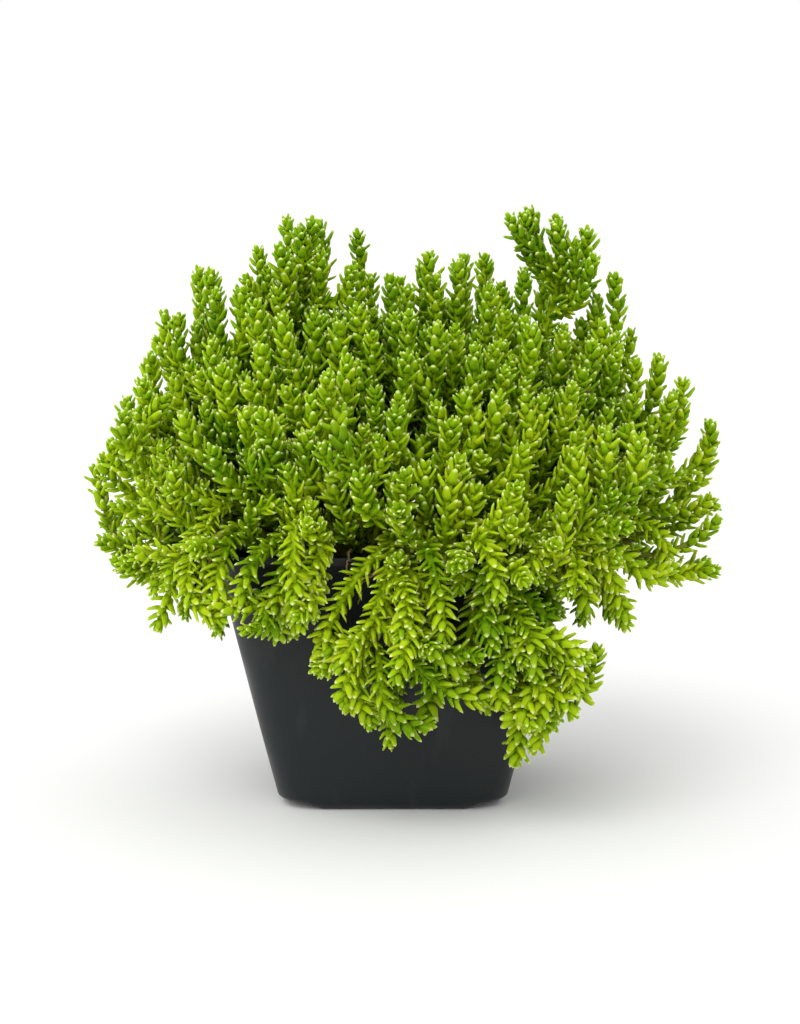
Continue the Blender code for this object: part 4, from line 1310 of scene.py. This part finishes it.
def plastic_material(settings):
    """Satin moulded plastic with faint scuffs and a fine grain."""
    material, tree, shader = new_material("Pot plastic")
    streaks = noise(tree, scale=42.0, detail=5.0, stretch=(3.0, 3.0, 0.5))
    streaks = eased(tree, streaks, low=0.52, high=0.80, top=0.70)
    smoothest = settings.roughness - 0.05
    roughest = settings.roughness + 0.09
    uneven = noise(tree, scale=60.0, detail=4.0)
    rough = eased(tree, uneven, low=0.3, high=0.7, bottom=smoothest, top=roughest)
    grain = add_node(tree, "ShaderNodeMath", {"operation": "MULTIPLY_ADD"})
    fine = noise(tree, scale=2600.0, detail=2.0)
    fine_share = 0.06
    broad = noise(tree, scale=24.0, detail=2.0)
    for socket, value in zip(grain.inputs, (fine, fine_share, broad)):
        feed(tree, socket, value)
    feed_all(
        tree, shader, Base_Color=blended(tree, streaks, settings.plastic, settings.scuffed),
        Roughness=rough, Specular_IOR_Level=0.30,
        Normal=bumps(tree, grain.outputs[0], distance=0.0006, strength=0.8),
    )
    return material


def soil_material(settings):
    """Dark damp potting mix flecked with bark."""
    material, tree, shader = new_material("Potting mix")
    flecks = eased(tree, noise(tree, scale=520.0, detail=4.0), low=0.52, high=0.72)
    feed_all(
        tree, shader, Base_Color=blended(tree, flecks, settings.dark, settings.light), Roughness=0.92,
        Normal=bumps(tree, noise(tree, scale=700.0, detail=6.0), distance=0.0008),
    )
    return material


def speckled_material(name, colour, scale, brightness, roughness):
    """A plain material that varies between a colour and a brighter or darker one."""
    material, tree, shader = new_material(name)
    other = tuple(min(1.0, brightness * value) for value in colour)
    mixed = blended(tree, noise(tree, scale), colour, other)
    feed_all(tree, shader, Base_Color=mixed, Roughness=roughness)
    return material


# Pieces


def placed(name, data, place=(0.0, 0.0, 0.0)):
    """An object with this data in the scene."""
    thing = bpy.data.objects.new(name, data)
    thing.location = place
    bpy.context.scene.collection.objects.link(thing)
    return thing


def show(mesh, material):
    """Put a mesh in the scene as a piece that rides with the part."""
    mesh.materials.clear()
    mesh.materials.append(material)
    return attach(placed(mesh.name, mesh), "root")


def mesh_from(bm, name):
    """The mesh of a finished bmesh."""
    mesh = bpy.data.meshes.new(name)
    bm.to_mesh(mesh)
    bm.free()
    return mesh


def rounded_square(half, corner, z, lift=0.0):
    """Points round a square with round corners, raised near the corners by a share of the lift."""
    reach = half - corner
    side = [(half, -reach + 2.0 * reach * step / SIDE_STEPS) for step in range(SIDE_STEPS)]
    for step in range(CORNER_STEPS):
        angle = math.pi / 2.0 * step / CORNER_STEPS
        side.append((reach + corner * math.cos(angle), reach + corner * math.sin(angle)))
    ring = []
    for quarter in range(4):
        turn = quarter * math.pi / 2.0
        along, across = math.cos(turn), math.sin(turn)
        for a, b in side:
            x, y = a * along - b * across, a * across + b * along
            ease = min(max((min(abs(x), abs(y)) - LIFT_START) / LIFT_RUN, 0.0), 1.0)
            ring.append((x, y, z + lift * CORNER_LIFT * ease * ease * (3.0 - 2.0 * ease)))
    return ring


def loft(name, rings):
    """A skin through rings of equal count, closed at its last ring."""
    bm = bmesh.new()
    layers = [[bm.verts.new(point) for point in ring] for ring in rings]
    middle = bm.verts.new((0.0, 0.0, min(point[2] for point in rings[-1])))
    count = len(layers[0])
    for low, high in zip(layers, layers[1:]):
        for index in range(count):
            after = (index + 1) % count
            bm.faces.new((low[index], low[after], high[after], high[index]))
    for index in range(count):
        bm.faces.new((layers[-1][index], layers[-1][(index + 1) % count], middle))
    bmesh.ops.recalc_face_normals(bm, faces=bm.faces)
    return mesh_from(bm, name)


def wall_half(z):
    return BASE_HALF + (RIM_HALF - BASE_HALF) * z / POT_HEIGHT


def wall_corner(z):
    return BASE_CORNER + (RIM_CORNER - BASE_CORNER) * z / POT_HEIGHT


def bent_in(radius, turn):
    """How far a rounded edge lies in from its side, and off its end, at a turn from the side."""
    angle = math.radians(turn)
    return radius * (1.0 - math.cos(angle)), radius * (1.0 - math.sin(angle))


def pot_rings(lip_round):
    """Outer skin of the pot from its lip to the middle of its underside."""
    rings = []
    for turn in LIP_TURNS:
        inset, fall = bent_in(lip_round, turn)
        rings.append(rounded_square(RIM_HALF - inset, RIM_CORNER - inset, POT_HEIGHT - fall))
    lip_low = POT_HEIGHT - LIP_HEIGHT
    wall_top = lip_low - LIP_PROUD
    rings.append(rounded_square(RIM_HALF, RIM_CORNER, lip_low))
    rings.append(rounded_square(wall_half(wall_top), RIM_CORNER, wall_top))
    for share in np.linspace(WALL_START, 0.0, WALL_STEPS):
        z = HEEL_HEIGHT + (wall_top - HEEL_HEIGHT) * share
        lift = WALL_LIFT * (1.0 - share) ** WALL_LIFT_POWER
        rings.append(rounded_square(wall_half(z), wall_corner(z), z, lift))
    for turn in HEEL_TURNS:
        inset, z = bent_in(HEEL_ROUND, turn)
        lift = max(math.sin(math.radians(turn)), HEEL_LIFT)
        rings.append(rounded_square(wall_half(z) - inset, BASE_CORNER - inset, z, lift))
    for half in (LIFT_START + LIFT_RUN, LIFT_START + FLOOR_STEP):
        rings.append(rounded_square(half, HEEL_ROUND, 0.0, 1.0))
    return rings


def drained(pot):
    """Cut the four drain holes through the pot's floor."""
    cutters = bpy.data.collections.new("drain cutters")
    for x in (-DRAIN_PLACE, DRAIN_PLACE):
        for y in (-DRAIN_PLACE, DRAIN_PLACE):
            bm = bmesh.new()
            bmesh.ops.create_cone(
                bm, cap_ends=True, segments=DRAIN_SIDES,
                radius1=DRAIN_RADIUS, radius2=DRAIN_RADIUS, depth=4.0 * CORNER_LIFT,
            )
            cutter = bpy.data.objects.new("drain", mesh_from(bm, "drain"))
            cutter.location = (x, y, CORNER_LIFT)
            cutters.objects.link(cutter)
    bpy.context.scene.collection.children.link(cutters)
    cut = pot.modifiers.new("Drain holes", "BOOLEAN")
    cut.operand_type = "COLLECTION"
    cut.collection = cutters
    depsgraph = bpy.context.evaluated_depsgraph_get()
    finished = bpy.data.meshes.new_from_object(pot.evaluated_get(depsgraph))
    pot.modifiers.clear()
    pot.data = finished
    for cutter in list(cutters.objects):
        bpy.data.objects.remove(cutter)
    bpy.data.collections.remove(cutters)


class SEDUM_OT_pot(bpy.types.Operator):
    """Build the nursery pot with its lip, raised base corners and drain holes"""

    bl_idname = "sedum.pot"
    bl_label = "Pot"

    def execute(self, context):
        settings = context.scene.sedum_pot
        pot = show(loft("nursery_pot", pot_rings(settings.lip_round)), plastic_material(settings))
        wall = pot.modifiers.new("Wall", "SOLIDIFY")
        wall.thickness = POT_WALL
        wall.offset = -1.0
        wall.use_even_offset = True
        drained(pot)
        pot.data.shade_smooth()
        pot.data.set_sharp_from_angle(angle=SHARP_ANGLE)
        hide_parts("pot")
        return {"FINISHED"}


def soil_surface():
    """Rings from the soil's side over its top to the middle, uneven as loose mix is."""
    top_half = wall_half(SOIL_TOP) - POT_WALL - SOIL_CLEAR
    top_corner = wall_corner(SOIL_TOP) - POT_WALL
    low_half = wall_half(SOIL_TOP - HOLE_DEPTH) - POT_WALL - SOIL_CLEAR
    rings = [rounded_square(low_half, top_corner, SOIL_TOP - HOLE_DEPTH)]
    outline = rounded_square(top_half, top_corner, SOIL_TOP)
    for share in np.linspace(1.0, SOIL_MIDDLE, SOIL_RINGS):
        ring = []
        for x, y, z in outline:
            x, y = share * x, share * y
            wave = math.sin(WAVE_X * x + WAVE_PHASE) * math.cos(WAVE_Y * y)
            twist = GRAIN_TWIST * math.sin(TWIST_Y * y)
            grain = math.sin(GRAIN_X * x + twist) * math.sin(GRAIN_Y * y + GRAIN_PHASE)
            ring.append((x, y, z + SOIL_UNEVEN * wave + GRAIN_HEIGHT * grain))
        rings.append(ring)
    return rings


def grow_crumbs(growth, settings):
    """Loose crumbs and slivers of bark lying on the soil."""
    rng = np.random.default_rng(CRUMB_SEED)
    bm = bmesh.new()
    bmesh.ops.create_icosphere(bm, subdivisions=1, radius=1.0)
    ball = np.array([vert.co for vert in bm.verts])
    triangles = np.array([[vert.index for vert in face.verts] for face in bm.faces])
    bm.free()
    reach = wall_half(SOIL_TOP) - POT_WALL - 3.0 * settings.crumb_size
    for _ in range(settings.crumbs):
        place = np.append(rng.uniform(-reach, reach, 2), SOIL_TOP)
        size = settings.crumb_size * rng.uniform(*CRUMB_SIZES)
        stretch = size * np.array([rng.uniform(*limits) for limits in CRUMB_STRETCH])
        lumps = ball * rng.uniform(*CRUMB_LUMPS, (len(ball), 1)) * stretch
        turn = rng.uniform(0.0, math.tau)
        along, across = math.cos(turn), math.sin(turn)
        spun = lumps @ np.array([[along, across, 0.0], [-across, along, 0.0], [0.0, 0.0, 1.0]])
        growth.add(spun + place, triangles, np.zeros((len(ball), 4)))


class SEDUM_OT_soil(bpy.types.Operator):
    """Build the potting mix with its loose crumbs"""

    bl_idname = "sedum.soil"
    bl_label = "Potting mix"

    def execute(self, context):
        settings = context.scene.sedum_soil
        material = soil_material(settings)
        soil = show(loft("potting_mix", soil_surface()), material)
        soil.data.shade_smooth()
        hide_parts("soil")
        growth = Growth()
        grow_crumbs(growth, settings)
        show(growth.mesh("soil_crumbs"), material)
        return {"FINISHED"}


class SEDUM_OT_sprays(bpy.types.Operator):
    """Build every leafy spray, each in place of its solid"""

    bl_idname = "sedum.sprays"
    bl_label = "Leafy sprays"

    def execute(self, context):
        settings = context.scene.sedum_plant
        material = leaf_material(settings)
        sprays = {}
        for shoot in all_shoots(settings):
            growth = sprays.setdefault(shoot.spray, Growth())
            grow_stem(growth, shoot, settings)
            grow_leaves(growth, shoot, settings)
        for name, growth in sprays.items():
            spray = show(growth.mesh(f"leafy_{name}"), material)
            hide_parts(name)
        return {"FINISHED"}


class SEDUM_OT_oddments(bpy.types.Operator):
    """Build the thin dry roots at the rim and the old stems without leaves"""

    bl_idname = "sedum.oddments"
    bl_label = "Roots and old stems"

    def execute(self, context):
        settings = context.scene.sedum_plant
        rng = np.random.default_rng(ROOT_SEED)
        roots = Growth()
        radii = np.linspace(*ROOT_RADII, ROOT_POINTS)
        for route in ROOTS:
            points = even_points(drawn_route(metres(route)), ROOT_POINTS)
            points[1:-1] += rng.normal(0.0, ROOT_WANDER, (ROOT_POINTS - 2, 3))
            grow_tube(roots, points, radii, ROOT_SIDES, np.ones(ROOT_POINTS))
        material = speckled_material(
            "Dry root", settings.wood, scale=300.0, brightness=2.2, roughness=0.7
        )
        show(roots.mesh("dry_roots"), material)
        stems = Growth()
        knots = 1.0 + KNOT_HEIGHT * np.sin(np.linspace(0.0, KNOT_TURNS, OLD_POINTS))
        for radius, route in OLD_STEMS:
            points = even_points(drawn_route(metres(route)), OLD_POINTS)
            grow_tube(stems, points, radius * knots, OLD_SIDES, np.full(OLD_POINTS, OLD_WOOD))
        show(stems.mesh("old_stems"), leaf_material(settings))
        return {"FINISHED"}


class SEDUM_OT_stage(bpy.types.Operator):
    """Set the floor, the soft lights and the camera"""

    bl_idname = "sedum.stage"
    bl_label = "Studio"

    def execute(self, context):
        settings = context.scene.sedum_stage
        scene = context.scene
        bm = bmesh.new()
        bmesh.ops.create_circle(bm, cap_ends=True, segments=FLOOR_SIDES, radius=settings.floor_radius)
        mesh = mesh_from(bm, "floor")
        material = speckled_material(
            "Pale floor", settings.floor, scale=2.0, brightness=0.98, roughness=0.8
        )
        mesh.materials.append(material)
        floor = placed("floor", mesh, (0.0, 0.0, CAD_LOW.z))
        soft_light("key light", "SUN", KEY_PLACE, settings.key_power).angle = KEY_ANGLE
        soft_light("side light", "AREA", SIDE_PLACE, settings.fill_power).size = SIDE_SIZE
        world = bpy.data.worlds.new("white room")
        world.use_nodes = True
        background = world.node_tree.nodes["Background"]
        background.inputs["Color"].default_value = (1.0, 1.0, 1.0, 1.0)
        background.inputs["Strength"].default_value = settings.sky
        scene.world = world
        back = Vector((0.0, -math.cos(settings.elevation), math.sin(settings.elevation)))
        camera = placed("camera", bpy.data.cameras.new("camera"), AIM + back * settings.distance)
        face(camera, -back)
        camera.data.lens = settings.lens
        camera.data.clip_start = CLIP_START
        scene.camera = camera
        scene.view_settings.view_transform = "Standard"
        return {"FINISHED"}


def face(thing, way):
    """Turn a light or the camera to look this way."""
    thing.rotation_euler = way.to_track_quat("-Z", "Y").to_euler()


def soft_light(name, kind, place, power):
    """The lamp of a light that faces the plant."""
    lamp = bpy.data.lights.new(name, kind)
    lamp.energy = power
    face(placed(name, lamp, place), AIM - Vector(place))
    return lamp


class SEDUM_PT_panel(bpy.types.Panel):
    """Sizes, colours and builders of the potted sedum"""

    bl_idname = "SEDUM_PT_panel"
    bl_label = "Potted Sedum"
    bl_space_type = "VIEW_3D"
    bl_region_type = "UI"
    bl_category = "Sedum"

    def draw(self, context):
        for operator, settings in (
            (SEDUM_OT_pot, context.scene.sedum_pot),
            (SEDUM_OT_soil, context.scene.sedum_soil),
            (SEDUM_OT_sprays, context.scene.sedum_plant),
            (SEDUM_OT_oddments, None),
            (SEDUM_OT_stage, context.scene.sedum_stage),
        ):
            box = self.layout.box()
            for key in settings.__annotations__ if settings else ():
                box.prop(settings, key)
            box.operator(operator.bl_idname)


GROUPS = {
    "sedum_plant": SEDUM_PG_plant,
    "sedum_pot": SEDUM_PG_pot,
    "sedum_soil": SEDUM_PG_soil,
    "sedum_stage": SEDUM_PG_stage,
}
OPERATORS = (SEDUM_OT_pot, SEDUM_OT_soil, SEDUM_OT_sprays, SEDUM_OT_oddments, SEDUM_OT_stage)


def register():
    for cls in (*GROUPS.values(), *OPERATORS, SEDUM_PT_panel):
        bpy.utils.register_class(cls)
    for name, group in GROUPS.items():
        setattr(bpy.types.Scene, name, PointerProperty(type=group))


def unregister():
    for name in GROUPS:
        delattr(bpy.types.Scene, name)
    for cls in reversed((*GROUPS.values(), *OPERATORS, SEDUM_PT_panel)):
        bpy.utils.unregister_class(cls)


def write_sizes():
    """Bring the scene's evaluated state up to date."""
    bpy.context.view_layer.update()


def main():
    register()
    bpy.ops.sedum.pot()
    bpy.ops.sedum.soil()
    bpy.ops.sedum.sprays()
    bpy.ops.sedum.oddments()
    bpy.ops.sedum.stage()
    write_sizes()


if __name__ == "__main__":
    main()
